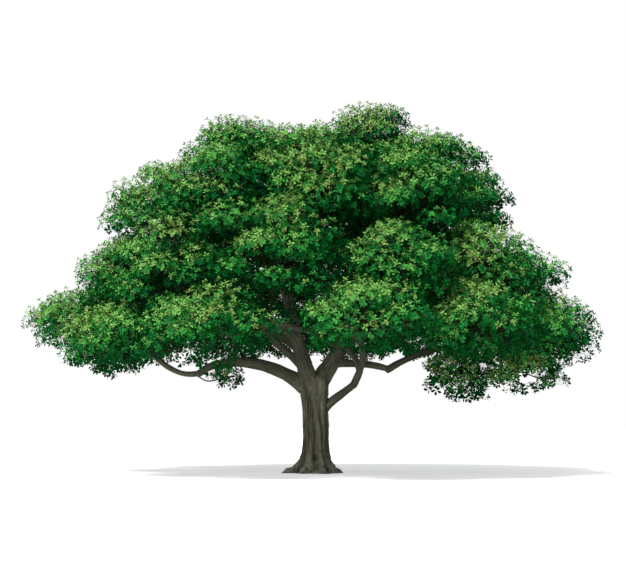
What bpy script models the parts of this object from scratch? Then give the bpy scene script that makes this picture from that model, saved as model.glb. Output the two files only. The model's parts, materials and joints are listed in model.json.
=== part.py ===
"""An open-grown oak in full leaf: trunk, boughs, and masses of foliage, each a solid of its own.

Units are metres and +Z is up. The origin is the middle of the flat cut under the trunk, at ground level.
East is +X, north is +Y; an azimuth is in degrees, anticlockwise from east as seen from above.
The tree is worked out in this order:

1. The trunk is a turned shape with root flares.
2. Each limb is one tapering tube on a smooth curve, from its parent's axis to a tip that is given by
   azimuth, reach and height. A limb is trimmed to stand just clear of what it grows from.
3. The crown is tiers of masses round the trunk's axis. Every mass has a convex space of its own, and is
   a stem from a limb's tip, a core, and twigs whose leaves stand out of the core, each leaf a spray.
"""

import cmath
import math
import random
from dataclasses import dataclass

import bmesh
import bpy
import numpy as np
from mathutils.bvhtree import BVHTree

# The whole tree
CLEARANCE = 0.0003  # between a piece and what it grows from
SHORTEST_EDGE = 0.0001  # shorter ones that a join leaves are closed up
TRIES = 4  # at a mass, each with a seed of its own, until its join is sound
SEED = 108

# The trunk: its radius at heights above the ground, and the flares of its roots
TRUNK_TOP = 3.42
TRUNK_PROFILE = [
    (0.00, 0.74),
    (0.10, 0.66),
    (0.25, 0.57),
    (0.45, 0.495),
    (0.80, 0.45),
    (1.30, 0.425),
    (1.90, 0.42),
    (2.40, 0.43),
    (2.80, 0.47),
    (3.15, 0.53),
]
TRUNK_SHIFT_AT_TOP = -0.14  # the axis drifts west under the fork
TRUNK_SIDES = 20
ROOT_FLARES = [(183, 0.52), (235, 0.24), (292, 0.30), (345, 0.26), (40, 0.34), (100, 0.30), (142, 0.28)]
ROOT_FLARE_WIDTH = 17.0  # degrees from a flare's crest to where it is mostly gone
ROOT_FLARE_HEIGHT = 0.24  # a flare falls to a third of its reach over this height

# Limbs
LIMB_RINGS, LIMB_SIDES = 9, 8  # where they show
INNER_RINGS, INNER_SIDES = 7, 6  # inside the crown
LIMB_TAPER = 1.25
LIMB_CLEARANCE = 0.07  # leaves and cores keep this far from a limb

# Masses
CELL_GAP = 0.02  # between the spaces of two neighbours
CORE_POINTS = 20
CORE_SHARE = 0.78  # the core's size, as a share of its mass's
CORE_ROUGHNESS = 0.09
CORE_INSET = 0.03  # a core keeps this far inside its own space
HEART_DEPTH = 0.35  # how far inside its mass's middle the stem ends, as a share of its depth
STEM_SHARES = (0.85, 0.46, 0.42, 0.37, 0.32)  # a stem's foot as a share of the limb's tip, by stems on it
STEM_SPREAD = 0.6  # how much the stems on one tip lean apart
STEM_TIP_RADIUS = 0.03
STEM_RINGS = 4
STEM_SIDES = 3
BUSY_TIP = 0.5  # each stem on a tip makes it seem this much further off to the next mass
OPEN_SHARE = 0.95  # a twig's line is open if its mass's own space reaches this share of its size
LEAVES_TO_A_TWIG = 3
LEAF_LENGTH = 0.98
LEAF_WIDTH = 0.62  # shares of a leaf's length
LEAF_THICKNESS = 0.05
LEAF_WIDEST_AT = 0.6
LEAF_ROOT_DEPTH = 0.15  # how far under the core's surface the leaves of a twig start
LEAF_SPLAY = 50.0  # degrees between a twig's line and its leaves
FACE_GRID = np.array([(i, j, 8 - i - j) for i in range(9) for j in range(9 - i)]) / 8  # where a face is tested
TWIG_RADIUS = 0.05
TWIG_LENGTH = 0.45


@dataclass
class Limb:
    """One tapering limb, from its parent's axis to a tip in the crown."""

    name: str
    parent: str
    share: float  # where its axis leaves the parent's, 0 at the foot and 1 at the tip
    azimuth: float
    reach: float  # of the tip, from the trunk's axis
    height: float  # of the tip
    leaves_at: float  # degrees above level at its foot
    arrives_at: float  # degrees above level at its tip
    foot_radius: float
    tip_radius: float
    rings: int = LIMB_RINGS
    sides: int = LIMB_SIDES


# Limbs that show under the crown
LIMBS = [
    Limb("west_stem", "trunk", 0.84, 221, 1.9, 8.6, 60, 76, 0.29, 0.13),
    Limb("east_stem", "trunk", 0.84, 4, 2.9, 8.1, 56, 62, 0.29, 0.13),
    Limb("west_bough", "trunk", 0.79, 184, 4.17, 3.42, 46, -42, 0.27, 0.12),
    Limb("west_bough_arm", "west_bough", 1.0, 183, 6.15, 4.75, 12, 66, 0.088, 0.10),
    Limb("west_branch", "west_stem", 0.13, 184, 3.9, 7.5, 44, 58, 0.14, 0.12),
    Limb("east_side_bough", "trunk", 0.58, 354, 1.35, 3.10, 46, 38, 0.18, 0.12),
    Limb("east_side_arm", "east_side_bough", 1.0, 285, 4.5, 4.9, 80, 14, 0.115, 0.10),
    Limb("south_branch", "east_side_arm", 0.12, 252, 4.7, 5.0, 64, 14, 0.085, 0.10),
    Limb("east_bough", "east_stem", 0.20, 357, 2.55, 3.62, -8, -22, 0.15, 0.11),
    Limb("east_bough_arm", "east_bough", 1.0, 0, 6.0, 4.55, 88, 3, 0.11, 0.10),
]
# Limbs inside the crown: (name, parent, share, azimuth)
LOWER_LIMBS = [
    ("south_west_limb", "west_stem", 0.34, 222),
    ("north_west_limb", "west_stem", 0.28, 138),
    ("north_limb", "east_stem", 0.27, 92),
    ("north_east_limb", "east_stem", 0.34, 43),
    ("south_east_limb", "east_stem", 0.30, 320),
]
UPPER_LIMBS = [
    ("upper_north_west_limb", "west_stem", 0.50, 125),
    ("upper_north_east_limb", "east_stem", 0.55, 58),
    ("upper_south_east_limb", "east_stem", 0.48, 304),
]
LOWER_LIMB = {"reach": 4.9, "height": 5.1, "leaves_at": 26, "arrives_at": 2, "foot_radius": 0.17, "tip_radius": 0.12}
UPPER_LIMB = {"reach": 2.9, "height": 8.3, "leaves_at": 42, "arrives_at": 58, "foot_radius": 0.14, "tip_radius": 0.12}


@dataclass
class Tier:
    """A ring of masses. Each compass value is for west, east, south and north in turn."""

    name: str
    count: int
    first_azimuth: float
    reach: tuple
    height: tuple
    size: tuple  # half sizes outward, sideways and upward
    twigs: int


TIERS = [
    Tier("skirt", 11, 180, (8.15, 8.35, 7.4, 7.6), (4.85, 4.8, 4.6, 5.45), (1.7, 2.4, 1.3), 5),
    Tier("shoulder", 11, 262, (7.0, 7.1, 6.3, 6.5), (6.7, 6.6, 6.6, 6.8), (1.75, 2.15, 1.7), 5),
    Tier("upper", 9, 270, (5.35, 5.4, 5.0, 5.2), (9.2, 9.3, 9.2, 9.2), (1.75, 2.1, 1.75), 5),
    Tier("top", 5, 342, (3.15, 4.7, 2.8, 2.9), (11.3, 10.6, 10.1, 11.0), (1.7, 2.0, 1.4), 5),
]
# Single masses: (name, azimuth, reach, height, half sizes, twigs, limb)
SINGLE_MASSES = [
    ("crest", 6, 2.0, 11.85, (1.75, 1.55, 1.35), 5, ""),
    ("hanging_west", 184, 7.55, 4.15, (1.3, 1.0, 0.8), 5, ""),
    ("hanging_east", 353, 5.0, 3.35, (1.25, 1.2, 1.05), 5, ""),
    ("hanging_far_east", 350, 7.35, 3.6, (1.6, 1.2, 1.0), 5, ""),
    ("bough_tuft", 185, 3.2, 3.36, (0.9, 0.5, 0.37), 3, "west_bough"),
]
JITTER = (0.25, 0.25, 0.4)  # how far a tier's mass may stray from its place
SHIFTS = {  # masses that stand off their tier's place, east, north and up
    "skirt_foliage_01": (-0.05, 0.0, 0.05),
    "skirt_foliage_02": (0.3, 0.0, 0.0),
    "skirt_foliage_04": (0.45, 0.0, -0.25),
    "skirt_foliage_06": (0.0, 0.0, -0.3),
    "shoulder_foliage_03": (-0.2, 0.0, 0.0),
    "shoulder_foliage_04": (0.0, 0.0, -0.15),
    "shoulder_foliage_10": (0.15, 0.0, -0.1),
    "upper_foliage_03": (0.0, 0.0, 0.15),
    "upper_foliage_08": (-0.2, 0.0, -0.25),
    "upper_foliage_09": (-0.15, 0.0, 0.1),
    "top_foliage_01": (-0.45, 0.0, 0.05),
    "top_foliage_04": (0.05, 0.0, 0.0),
    "top_foliage_05": (-0.25, 0.0, 0.0),
}


@dataclass
class Tube:
    """A tapering tube: the points along its axis, its radius at each, and how its first ring lies."""

    name: str
    path: np.ndarray
    radii: np.ndarray
    cap_normal: object = None
    goes_on: bool = False  # another limb starts on its tip
    room_share: float = 0.0  # how much of its tip that limb leaves free


@dataclass
class Mass:
    """A mass of foliage: where it is, how large, and its own axes."""

    name: str
    centre: np.ndarray
    size: np.ndarray
    axes: np.ndarray  # rows: outward, sideways, upward
    twigs: int
    seed: int
    limb: str = ""
    stem: Tube = None

    @property
    def leaf_share(self):
        """A small mass has smaller leaves."""
        return min(1.0, 0.25 + float(np.mean(self.size)) / 2.2)

    def place(self, direction, share):
        """The point that lies along a direction of the mass's own axes, at a share of its size."""
        return self.centre + share * (np.asarray(direction) * self.size) @ self.axes

    def half_width(self, direction):
        """How far its surface is from its middle, along a direction."""
        return 1 / float(np.linalg.norm((self.axes @ direction) / self.size))

    def heart(self):
        """Where its stem ends."""
        return self.place((-1, 0, 0), HEART_DEPTH)


# ---------------------------------------------------------------- vectors and curves


def unit(vector):
    """The vector at length 1."""
    return vector / np.linalg.norm(vector)


def heading(azimuth, rise):
    """The unit vector that points to an azimuth, so many degrees above level."""
    a, e = math.radians(azimuth), math.radians(rise)
    return np.array([math.cos(a) * math.cos(e), math.sin(a) * math.cos(e), math.sin(e)])


def at_compass(values, azimuth):
    """A value between those for west, east, south and north, at an azimuth."""
    west, east, south, north = values
    a = math.radians(azimuth)
    along, across = math.cos(a), math.sin(a)
    return (east if along > 0 else west) * along**2 + (north if across > 0 else south) * across**2


def bezier(start, leave, arrive, end, count):
    """Points along a cubic curve that leaves and arrives in the given directions."""
    pull = np.linalg.norm(end - start) / 3
    one, two = start + pull * leave, end - pull * arrive
    t = np.linspace(0, 1, count)[:, None]
    return (1 - t) ** 3 * start + 3 * t * (1 - t) ** 2 * one + 3 * t**2 * (1 - t) * two + t**3 * end


def side_axes(direction):
    """Two unit vectors square to a direction and to each other."""
    helper = np.array([0.0, 0.0, 1.0]) if abs(direction[2]) < 0.9 else np.array([1.0, 0.0, 0.0])
    across = unit(np.cross(helper, direction))
    return across, np.cross(direction, across)


def along_path(path, share):
    """The point and the direction at a share of a path's points."""
    at = share * (len(path) - 1)
    i = min(int(at), len(path) - 2)
    return path[i] + (at - i) * (path[i + 1] - path[i]), unit(path[i + 1] - path[i])


# ---------------------------------------------------------------- solids


def mesh_object(name, points, faces):
    """A mesh object from points and faces, in the scene."""
    mesh = bpy.data.meshes.new(name)
    mesh.from_pydata([tuple(p) for p in points], [], faces)
    made = bpy.data.objects.new(name, mesh)
    bpy.context.scene.collection.objects.link(made)
    return made


def ring_faces(rings, sides):
    """The faces of a closed tube of rings of points: triangles, and a flat cap at each end."""
    faces = [tuple(range(sides))[::-1], tuple(range((rings - 1) * sides, rings * sides))]
    for ring in range(rings - 1):
        for side in range(sides):
            a, b = ring * sides + side, ring * sides + (side + 1) % sides
            faces += [(a, b, b + sides), (a, b + sides, a + sides)]
    return faces


def tube_points(tube, sides, swell=0.0):
    """Rings of points square to a tube's path, kept from twisting; the first may lie flat on a cap."""
    path, radii = tube.path, tube.radii + swell
    across, _ = side_axes(unit(path[1] - path[0]))
    angles = np.arange(sides) * 2 * math.pi / sides
    points = []
    for i, (middle, radius) in enumerate(zip(path, radii)):
        ahead = unit(path[min(i + 1, len(path) - 1)] - path[max(i - 1, 0)])
        if i == 0 and tube.cap_normal is not None:
            ahead = tube.cap_normal
        if i == len(path) - 1:
            middle = middle + swell * ahead
        across = unit(across - (across @ ahead) * ahead)
        up = np.cross(ahead, across)
        points += [middle + radius * (math.cos(a) * across + math.sin(a) * up) for a in angles]
    return points


def apply_modifiers(target):
    """Turns the object's evaluated shape into its mesh."""
    graph = bpy.context.evaluated_depsgraph_get()
    mesh = bpy.data.meshes.new_from_object(target.evaluated_get(graph))
    target.modifiers.clear()
    target.data = mesh


def drop(made):
    """Removes an object and its mesh."""
    mesh = made.data
    bpy.data.objects.remove(made)
    bpy.data.meshes.remove(mesh)


def keep_largest_shell(target):
    """Drops loose scraps and fills sealed hollows, by keeping only the largest shell of the mesh.

    Returns whether what is left is sound: each of its edges has two faces.
    """
    work = bmesh.new()
    work.from_mesh(target.data)
    bmesh.ops.dissolve_degenerate(work, dist=SHORTEST_EDGE, edges=work.edges)
    unseen, shells = set(work.verts), []
    while unseen:
        found, waiting = [], [unseen.pop()]
        while waiting:
            vertex = waiting.pop()
            found.append(vertex)
            near = {e.other_vert(vertex) for e in vertex.link_edges} & unseen
            unseen -= near
            waiting += near
        shells.append(found)
    shells.sort(key=len)
    bmesh.ops.delete(work, geom=[v for shell in shells[:-1] for v in shell], context="VERTS")
    bmesh.ops.triangulate(work, faces=work.faces)
    sound = all(edge.is_manifold for edge in work.edges)
    work.to_mesh(target.data)
    work.free()
    return sound


def surfaces_cross(one, other):
    """Whether the surfaces of two mesh objects meet."""
    trees = []
    for made in (one, other):
        work = bmesh.new()
        work.from_mesh(made.data)
        trees.append(BVHTree.FromBMesh(work))
        work.free()
    return bool(trees[0].overlap(trees[1]))


def trim(target, cutters):
    """Cuts an object back to stand clear of each piece that it meets; the cutters are slightly larger."""
    for cutter in cutters:
        if not surfaces_cross(target, cutter):
            continue
        cut = target.modifiers.new("trim", "BOOLEAN")
        cut.operation = "DIFFERENCE"
        cut.solver = "EXACT"
        cut.object = cutter
        apply_modifiers(target)
        keep_largest_shell(target)


def paint(target, name, colour, roughness):
    """Gives an object a plain material, shared by name."""
    material = bpy.data.materials.get(name)
    if material is None:
        material = bpy.data.materials.new(name)
        material.use_nodes = True
        shader = material.node_tree.nodes["Principled BSDF"]
        shader.inputs["Base Color"].default_value = (*colour, 1.0)
        shader.inputs["Roughness"].default_value = roughness
        shader.inputs["Metallic"].default_value = 0.0
    target.data.materials.clear()
    target.data.materials.append(material)


def paint_bark(target):
    """Grey-brown bark."""
    paint(target, "bark", (0.105, 0.098, 0.068), 0.95)
    target.data.shade_smooth()
    target.data.set_sharp_from_angle(angle=math.radians(50))


def paint_leaves(target):
    """Leaf green."""
    paint(target, "leaves", (0.045, 0.125, 0.028), 0.6)


# ---------------------------------------------------------------- the trunk and limbs


def trunk_axis(height):
    """The middle of the trunk at a height."""
    return np.array([TRUNK_SHIFT_AT_TOP * (height / TRUNK_TOP) ** 3, 0.0, height])


def flare_reach(azimuth, height):
    """How far the root flares carry the trunk's surface out at an azimuth and a height."""
    reach = 0.0
    for crest, most in ROOT_FLARES:
        off = (azimuth - crest + 180) % 360 - 180
        reach += most * math.exp(-((off / ROOT_FLARE_WIDTH) ** 2))
    return reach * math.exp(-height / ROOT_FLARE_HEIGHT)


def trunk_points(swell=0.0):
    """Rings of points up the trunk, from its flat cut at the ground to a rounded top under the fork."""
    rings = list(TRUNK_PROFILE)
    last_height, last_radius = rings[-1]
    for angle in (50, 75):  # the top is rounded over
        turn = math.radians(angle)
        height = last_height + (TRUNK_TOP - last_height) * math.sin(turn)
        rings.append((height, last_radius * math.cos(turn) ** 0.5))
    points = []
    for height, radius in rings:
        for side in range(TRUNK_SIDES):
            azimuth = side * 360 / TRUNK_SIDES
            out = radius + flare_reach(azimuth, height) + swell
            points.append(trunk_axis(height) + out * heading(azimuth, 0) + np.array([0, 0, swell]))
    return points, ring_faces(len(rings), TRUNK_SIDES)


def all_limbs():
    """Every limb: those that show, then those inside the crown."""
    limbs = list(LIMBS)
    for rows, sizes in ((LOWER_LIMBS, LOWER_LIMB), (UPPER_LIMBS, UPPER_LIMB)):
        limbs += [Limb(*row, **sizes, rings=INNER_RINGS, sides=INNER_SIDES) for row in rows]
    return limbs


def limb_tube(limb, parent):
    """A limb's tube. A limb that goes on from its parent's tip starts flat on the top of it."""
    start, ahead = along_path(parent.path, limb.share)
    tip = heading(limb.azimuth, 0) * limb.reach + np.array([0, 0, limb.height])
    toward = math.degrees(math.atan2(tip[1] - start[1], tip[0] - start[0]))
    leave = heading(toward, limb.leaves_at)
    cap_normal = None
    if limb.share == 1.0:
        _, up = side_axes(ahead)
        room = parent.radii[-1] - limb.foot_radius
        start = start + CLEARANCE * ahead + room * up
        leave = unit(ahead + leave)
        cap_normal = ahead
        parent.goes_on = True
        parent.room_share = 0.8 * room / parent.radii[-1]
    path = bezier(start, leave, heading(toward, limb.arrives_at), tip, limb.rings)
    t = np.linspace(0, 1, limb.rings)
    radii = limb.tip_radius + (limb.foot_radius - limb.tip_radius) * (1 - t) ** LIMB_TAPER
    return Tube(limb.name, path, radii, cap_normal)


def make_wood():
    """The trunk and the limbs in order, each trimmed clear of those before it: tubes by name, and cutters."""
    points, faces = trunk_points()
    paint_bark(mesh_object("trunk", points, faces))
    cutters = [mesh_object("trunk_cutter", trunk_points(1.2 * CLEARANCE)[0], faces)]
    heights = np.linspace(0, TRUNK_TOP, LIMB_RINGS)
    path = np.array([trunk_axis(height) for height in heights])
    tubes = {"trunk": Tube("trunk", path, np.interp(heights, *np.array(TRUNK_PROFILE).T))}
    for limb in all_limbs():
        made = limb_tube(limb, tubes[limb.parent])
        faces = ring_faces(limb.rings, limb.sides)
        body = mesh_object(limb.name, tube_points(made, limb.sides), faces)
        near = [c for c in cutters if limb.share < 1.0 or c.name != f"{limb.parent}_cutter"]
        trim(body, near)
        paint_bark(body)
        tubes[limb.name] = made
        cutters.append(mesh_object(f"{limb.name}_cutter", tube_points(made, limb.sides, 1.2 * CLEARANCE), faces))
    return tubes, cutters


# ---------------------------------------------------------------- the crown's plan


def mass_at(name, azimuth, reach, height, size, twigs, seed, limb=""):
    """A mass whose own axes face outward from the trunk."""
    outward = heading(azimuth, 0)
    axes = np.array([outward, np.cross([0, 0, 1.0], outward), [0, 0, 1.0]])
    centre = reach * outward + np.array([0, 0, height])
    return Mass(name, centre, np.array(size, float), axes, twigs, seed, limb)


def plan_masses():
    """Every mass of the crown, tier by tier, then the single ones."""
    masses = []
    for tier in TIERS:
        for k in range(tier.count):
            azimuth = tier.first_azimuth + 360 * k / tier.count
            seed = SEED + 100 * len(masses)
            chance = random.Random(seed)
            mass = mass_at(
                f"{tier.name}_foliage_{k + 1:02d}",
                azimuth,
                at_compass(tier.reach, azimuth),
                at_compass(tier.height, azimuth),
                tier.size,
                tier.twigs,
                seed,
            )
            mass.centre += [chance.uniform(-most, most) for most in JITTER]
            mass.centre += SHIFTS.get(mass.name, 0.0)
            masses.append(mass)
    for name, *place, limb in SINGLE_MASSES:
        masses.append(mass_at(f"{name}_foliage", *place, SEED + 100 * len(masses), limb))
    return masses


def cell_planes(mass, masses):
    """The flat walls of a mass's own space, one between it and each of the others: normals and offsets.

    A point p is inside where normal . p is less than the offset, for each wall. A wall stands between
    two middles where the two sizes along the line between them meet in proportion.
    """
    normals, offsets = [], []
    for other in masses:
        if other is mass:
            continue
        apart = other.centre - mass.centre
        distance = np.linalg.norm(apart)
        normal = apart / distance
        own, its = mass.half_width(normal), other.half_width(normal)
        normals.append(normal)
        offsets.append(normal @ mass.centre + distance * own / (own + its) - CELL_GAP / 2)
    return np.array(normals), np.array(offsets)


def inside_cell(points, planes):
    """Whether all the points are in a mass's own space."""
    normals, offsets = planes
    return bool((np.atleast_2d(points) @ normals.T <= offsets).all())


def reach_in_cell(start, direction, wanted, planes):
    """How far along a direction a point may go in a mass's own space, up to the wanted length."""
    normals, offsets = planes
    closing = normals @ direction
    meets = closing > 1e-9
    room = (offsets - normals @ start)[meets] / closing[meets]
    return float(min(wanted, room.min())) if len(room) else wanted


def spread_directions(count, turn):
    """Directions spread evenly over a ball on a golden-angle spiral, from a first turn."""
    golden = math.pi * (3 - math.sqrt(5))
    directions = []
    for k in range(count):
        level = 1 - 2 * (k + 0.5) / count
        ring = math.sqrt(1 - level * level)
        angle = turn + golden * k
        directions.append(np.array([ring * math.cos(angle), ring * math.sin(angle), level]))
    return directions


def share_out_masses(masses, tips):
    """Gives each mass the limb whose tip is nearest to it, a busy tip seeming further off."""
    carried = {name: [] for name in tips}
    for mass in sorted(masses, key=lambda mass: not mass.limb):
        heart = mass.heart()
        if not mass.limb:
            mass.limb = min(
                (name for name in tips if not tips[name].goes_on),
                key=lambda name: np.linalg.norm(tips[name].path[-1] - heart) + BUSY_TIP * len(carried[name]),
            )
        carried[mass.limb].append(mass)
    return carried


def give_stems(masses, tips):
    """Runs a stem to the heart of each mass from the flat end of its limb, the stems side by side."""
    for name, group in share_out_masses(masses, tips).items():
        if not group:
            continue
        limb = tips[name]
        end, end_radius = limb.path[-1], limb.radii[-1]
        ahead = unit(limb.path[-1] - limb.path[-2])
        across, up = side_axes(ahead)
        if limb.goes_on:  # the limb that goes on fills the top of the end
            places = {group[0].name: -math.pi / 2}
            share = limb.room_share
        else:
            turns = {m.name: math.atan2((m.heart() - end) @ up, (m.heart() - end) @ across) for m in group}
            order = sorted(turns, key=turns.get)
            slot = 2 * math.pi / len(order)
            drift = sum(cmath.exp(1j * (turns[key] - slot * k)) for k, key in enumerate(order))
            places = {key: slot * k + cmath.phase(drift) for k, key in enumerate(order)}
            share = STEM_SHARES[len(order) - 1]
        for mass in group:
            side = math.cos(places[mass.name]) * across + math.sin(places[mass.name]) * up
            spread = 0.0 if len(group) == 1 and not limb.goes_on else 1.0
            foot = end + CLEARANCE * ahead + spread * 0.96 * end_radius * (1 - share) * side
            leave = unit(ahead + spread * STEM_SPREAD * side)
            heart = mass.heart()
            path = bezier(foot, leave, unit(heart - foot), heart, STEM_RINGS)
            mass.stem = Tube(f"{mass.name}_stem", path, np.linspace(share * end_radius, STEM_TIP_RADIUS, STEM_RINGS))
            mass.stem.cap_normal = ahead


class Clearance:
    """How far points are from a set of tapering tubes."""

    def __init__(self, tubes):
        """Lists the straight lengths of every tube."""
        self.starts = np.concatenate([t.path[:-1] for t in tubes])
        self.steps = np.concatenate([t.path[1:] - t.path[:-1] for t in tubes])
        self.radii = np.concatenate([t.radii[:-1] for t in tubes])
        self.tapers = np.concatenate([t.radii[1:] - t.radii[:-1] for t in tubes])
        self.owners = np.concatenate([[t.name] * (len(t.path) - 1) for t in tubes])

    def of(self, points, skip=""):
        """The distance from each point to the nearest tube's surface, leaving one tube out."""
        kept = self.owners != skip
        starts, steps = self.starts[kept], self.steps[kept]
        away = np.atleast_2d(points)[:, None, :] - starts
        t = np.clip((away * steps).sum(2) / (steps**2).sum(1), 0, 1)
        gaps = np.linalg.norm(away - t[:, :, None] * steps, axis=2)
        return (gaps - self.radii[kept] - t * self.tapers[kept]).min(axis=1)


# ---------------------------------------------------------------- masses of foliage


def ball(count, turn):
    """Points spread over a ball, and the faces of their hull."""
    points = spread_directions(count, turn)
    work = bmesh.new()
    for point in points:
        work.verts.new(point)
    bmesh.ops.convex_hull(work, input=work.verts)
    bmesh.ops.triangulate(work, faces=work.faces)
    work.verts.index_update()
    faces = [tuple(v.index for v in f.verts) for f in work.faces]
    work.free()
    return points, faces


def make_core(mass, planes, limbs, chance):
    """A lumpy core that fills its mass's own space, clear of limbs and of other stems."""
    directions, faces = ball(CORE_POINTS, chance.uniform(0, 2 * math.pi))
    points = []
    for direction in directions:
        swell = CORE_SHARE * (1 + chance.uniform(-CORE_ROUGHNESS, CORE_ROUGHNESS))
        wanted = mass.place(direction, swell) - mass.centre
        length = np.linalg.norm(wanted)
        room = reach_in_cell(mass.centre, wanted / length, length + CORE_INSET, planes) - CORE_INSET
        points.append(mass.centre + wanted / length * room)
    points = np.array(points)
    for _ in range(24):  # drawn in where it is too near a limb
        corners = points[np.array(faces)]
        samples = np.einsum("gk,fkd->fgd", FACE_GRID, corners)
        gaps = limbs.of(samples.reshape(-1, 3), mass.stem.name).reshape(len(faces), -1).min(axis=1)
        near = {corner for face, gap in zip(faces, gaps) if gap < LIMB_CLEARANCE for corner in face}
        if not near:
            break
        for corner in near:
            points[corner] = mass.centre + 0.88 * (points[corner] - mass.centre)
    else:
        print(mass.name, "has a core near a limb")
    return mesh_object("core", points, faces), points, faces


def leaf(root, along, facing, length):
    """A leaf of six faces, flat below and ridged above: its five points and its faces."""
    across = unit(np.cross(facing, along))
    facing = np.cross(along, across)
    belly = root + LEAF_WIDEST_AT * length * along
    half_width = LEAF_WIDTH * length / 2
    points = [
        root,
        root + length * along,
        belly + half_width * across,
        belly - half_width * across,
        belly + LEAF_THICKNESS * length * facing,
    ]
    return np.array(points), [(1, 2, 4), (1, 4, 3), (0, 4, 2), (0, 3, 4), (0, 2, 1), (0, 1, 3)]


def leaf_fits(mass, points, planes, limbs):
    """Whether a leaf keeps to its mass's own space and clear of limbs and of other stems."""
    if not inside_cell(points, planes):
        return False
    halves = points[np.array([(0, 2, 1), (0, 1, 3)])]
    samples = np.einsum("gk,fkd->fgd", FACE_GRID, halves).reshape(-1, 3)
    return bool((limbs.of(samples, mass.stem.name) > LIMB_CLEARANCE).all())


def surface_depth(tree, start, direction):
    """How far from a point inside the core to the core's surface, along a direction."""
    _, _, _, distance = tree.ray_cast(start, direction)
    return distance or 0.0


def open_lines(mass, planes, chance):
    """The lines of a mass's twigs, spread evenly over the sides where no neighbour is."""
    turn = chance.uniform(0, 2 * math.pi)
    for count in range(mass.twigs, 6 * mass.twigs):
        lines = []
        for direction in spread_directions(count, turn):
            outer = mass.place(direction, 1.0) - mass.centre
            reach = np.linalg.norm(outer)
            if reach_in_cell(mass.centre, outer / reach, 2 * reach, planes) > OPEN_SHARE * reach:
                lines.append(outer / reach)
        if len(lines) >= mass.twigs:
            break
    return lines


def rosette(mass, planes, limbs, core_tree, line, chance):
    """The leaves that splay round one twig: their points and faces."""
    root = mass.centre + (surface_depth(core_tree, mass.centre, line) - LEAF_ROOT_DEPTH) * line
    across, up = side_axes(line)
    turn = chance.uniform(0, 2 * math.pi)
    made = []
    for k in range(LEAVES_TO_A_TWIG):
        angle = turn + 2 * math.pi * k / LEAVES_TO_A_TWIG
        side = math.cos(angle) * across + math.sin(angle) * up
        splay = math.radians(LEAF_SPLAY + chance.uniform(-8, 8))
        along = math.cos(splay) * line + math.sin(splay) * side
        facing = unit(math.sin(splay) * line - math.cos(splay) * side + np.array([0, 0, 0.25]))
        for share in (1.0, 0.88, 0.77, 0.68):  # a leaf that does not fit is shortened, then skipped
            points, faces = leaf(root, along, facing, share * LEAF_LENGTH * mass.leaf_share)
            if leaf_fits(mass, points, planes, limbs):
                made.append((points, faces))
                break
    return made


def twig(mass, planes, limbs, core_tree, line):
    """A three-sided twig that stands out of the core, as points and faces; none if it does not fit."""
    depth = surface_depth(core_tree, mass.centre, line)
    root = mass.centre + (depth - LEAF_ROOT_DEPTH) * line
    tip = mass.centre + (depth + TWIG_LENGTH * mass.leaf_share) * line
    if not inside_cell(tip, planes) or limbs.of(tip, mass.stem.name)[0] < LIMB_CLEARANCE:
        return []
    across, up = side_axes(line)
    base = [root + TWIG_RADIUS * (math.cos(a) * across + math.sin(a) * up) for a in (0.3, 2.4, 4.5)]
    return [([*base, tip], [(2, 1, 0), (0, 1, 3), (1, 2, 3), (2, 0, 3)])]


def make_mass(mass, masses, limbs, cutters):
    """A mass of foliage as one solid: its stem, core, twigs and leaves."""
    planes = cell_planes(mass, masses)
    for attempt in range(TRIES):
        chance = random.Random(mass.seed + attempt)
        core, core_points, core_faces = make_core(mass, planes, limbs, chance)
        stem = mesh_object("stem", tube_points(mass.stem, STEM_SIDES), ring_faces(STEM_RINGS, STEM_SIDES))
        trim(stem, cutters)
        tree = BVHTree.FromPolygons([tuple(p) for p in core_points], core_faces)
        shapes = []
        for place, line in enumerate(open_lines(mass, planes, chance)):
            shapes += rosette(mass, planes, limbs, tree, line, chance)
            if place % 2 == 0:
                shapes += twig(mass, planes, limbs, tree, line)
        joined, sound = union(mass.name, [core, stem, *(mesh_object("leaf", *shape) for shape in shapes)])
        if sound:
            break
        print(mass.name, "is tried again")
        if attempt < TRIES - 1:
            drop(joined)
    paint_leaves(joined)


def union(name, parts):
    """Joins parts into one solid, and drops them. Returns it, and whether it is sound."""
    group = bpy.data.collections.new(f"{name}_parts")
    bpy.context.scene.collection.children.link(group)
    for part in parts[1:]:
        group.objects.link(part)
    joined = mesh_object(name, [], [])
    joined.data = parts[0].data.copy()
    join = joined.modifiers.new("join", "BOOLEAN")
    join.operation = "UNION"
    join.solver = "EXACT"
    join.operand_type = "COLLECTION"
    join.collection = group
    apply_modifiers(joined)
    for part in parts:
        drop(part)
    bpy.data.collections.remove(group)
    sound = keep_largest_shell(joined)
    joined.data.name = name
    return joined, sound


def main():
    """Builds the tree."""
    for old in list(bpy.data.objects):
        bpy.data.objects.remove(old)
    tubes, cutters = make_wood()
    masses = plan_masses()
    give_stems(masses, {name: tube for name, tube in tubes.items() if name != "trunk"})
    limbs = Clearance([*tubes.values(), *(mass.stem for mass in masses)])
    for mass in masses:
        make_mass(mass, masses, limbs, cutters)
    for cutter in cutters:
        drop(cutter)
    counts = {made.name: len(made.data.polygons) for made in bpy.data.objects}
    print(f"{len(counts)} solids of {sum(counts.values())} triangles, the largest of {max(counts.values())}")


main()
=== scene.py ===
"""An open-grown oak in full leaf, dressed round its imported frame.

Lengths are metres. East is +X, north is +Y and up is +Z; an azimuth is in degrees, anticlockwise from
east as seen from above. The tree grows in the order of its frame: the trunk, its limbs, and a stem from
a limb's tip to the heart of each mass of foliage. From there it grows on by the same rule: branchlets to
the tufts of each mass, twigs in each tuft, and sprays of leaves on each twig.
"""

from __future__ import annotations

import cmath
import json
import logging
import math
import random
from dataclasses import dataclass, field
from enum import Enum

import bpy
import numpy as np
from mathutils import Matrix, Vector, noise

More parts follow.
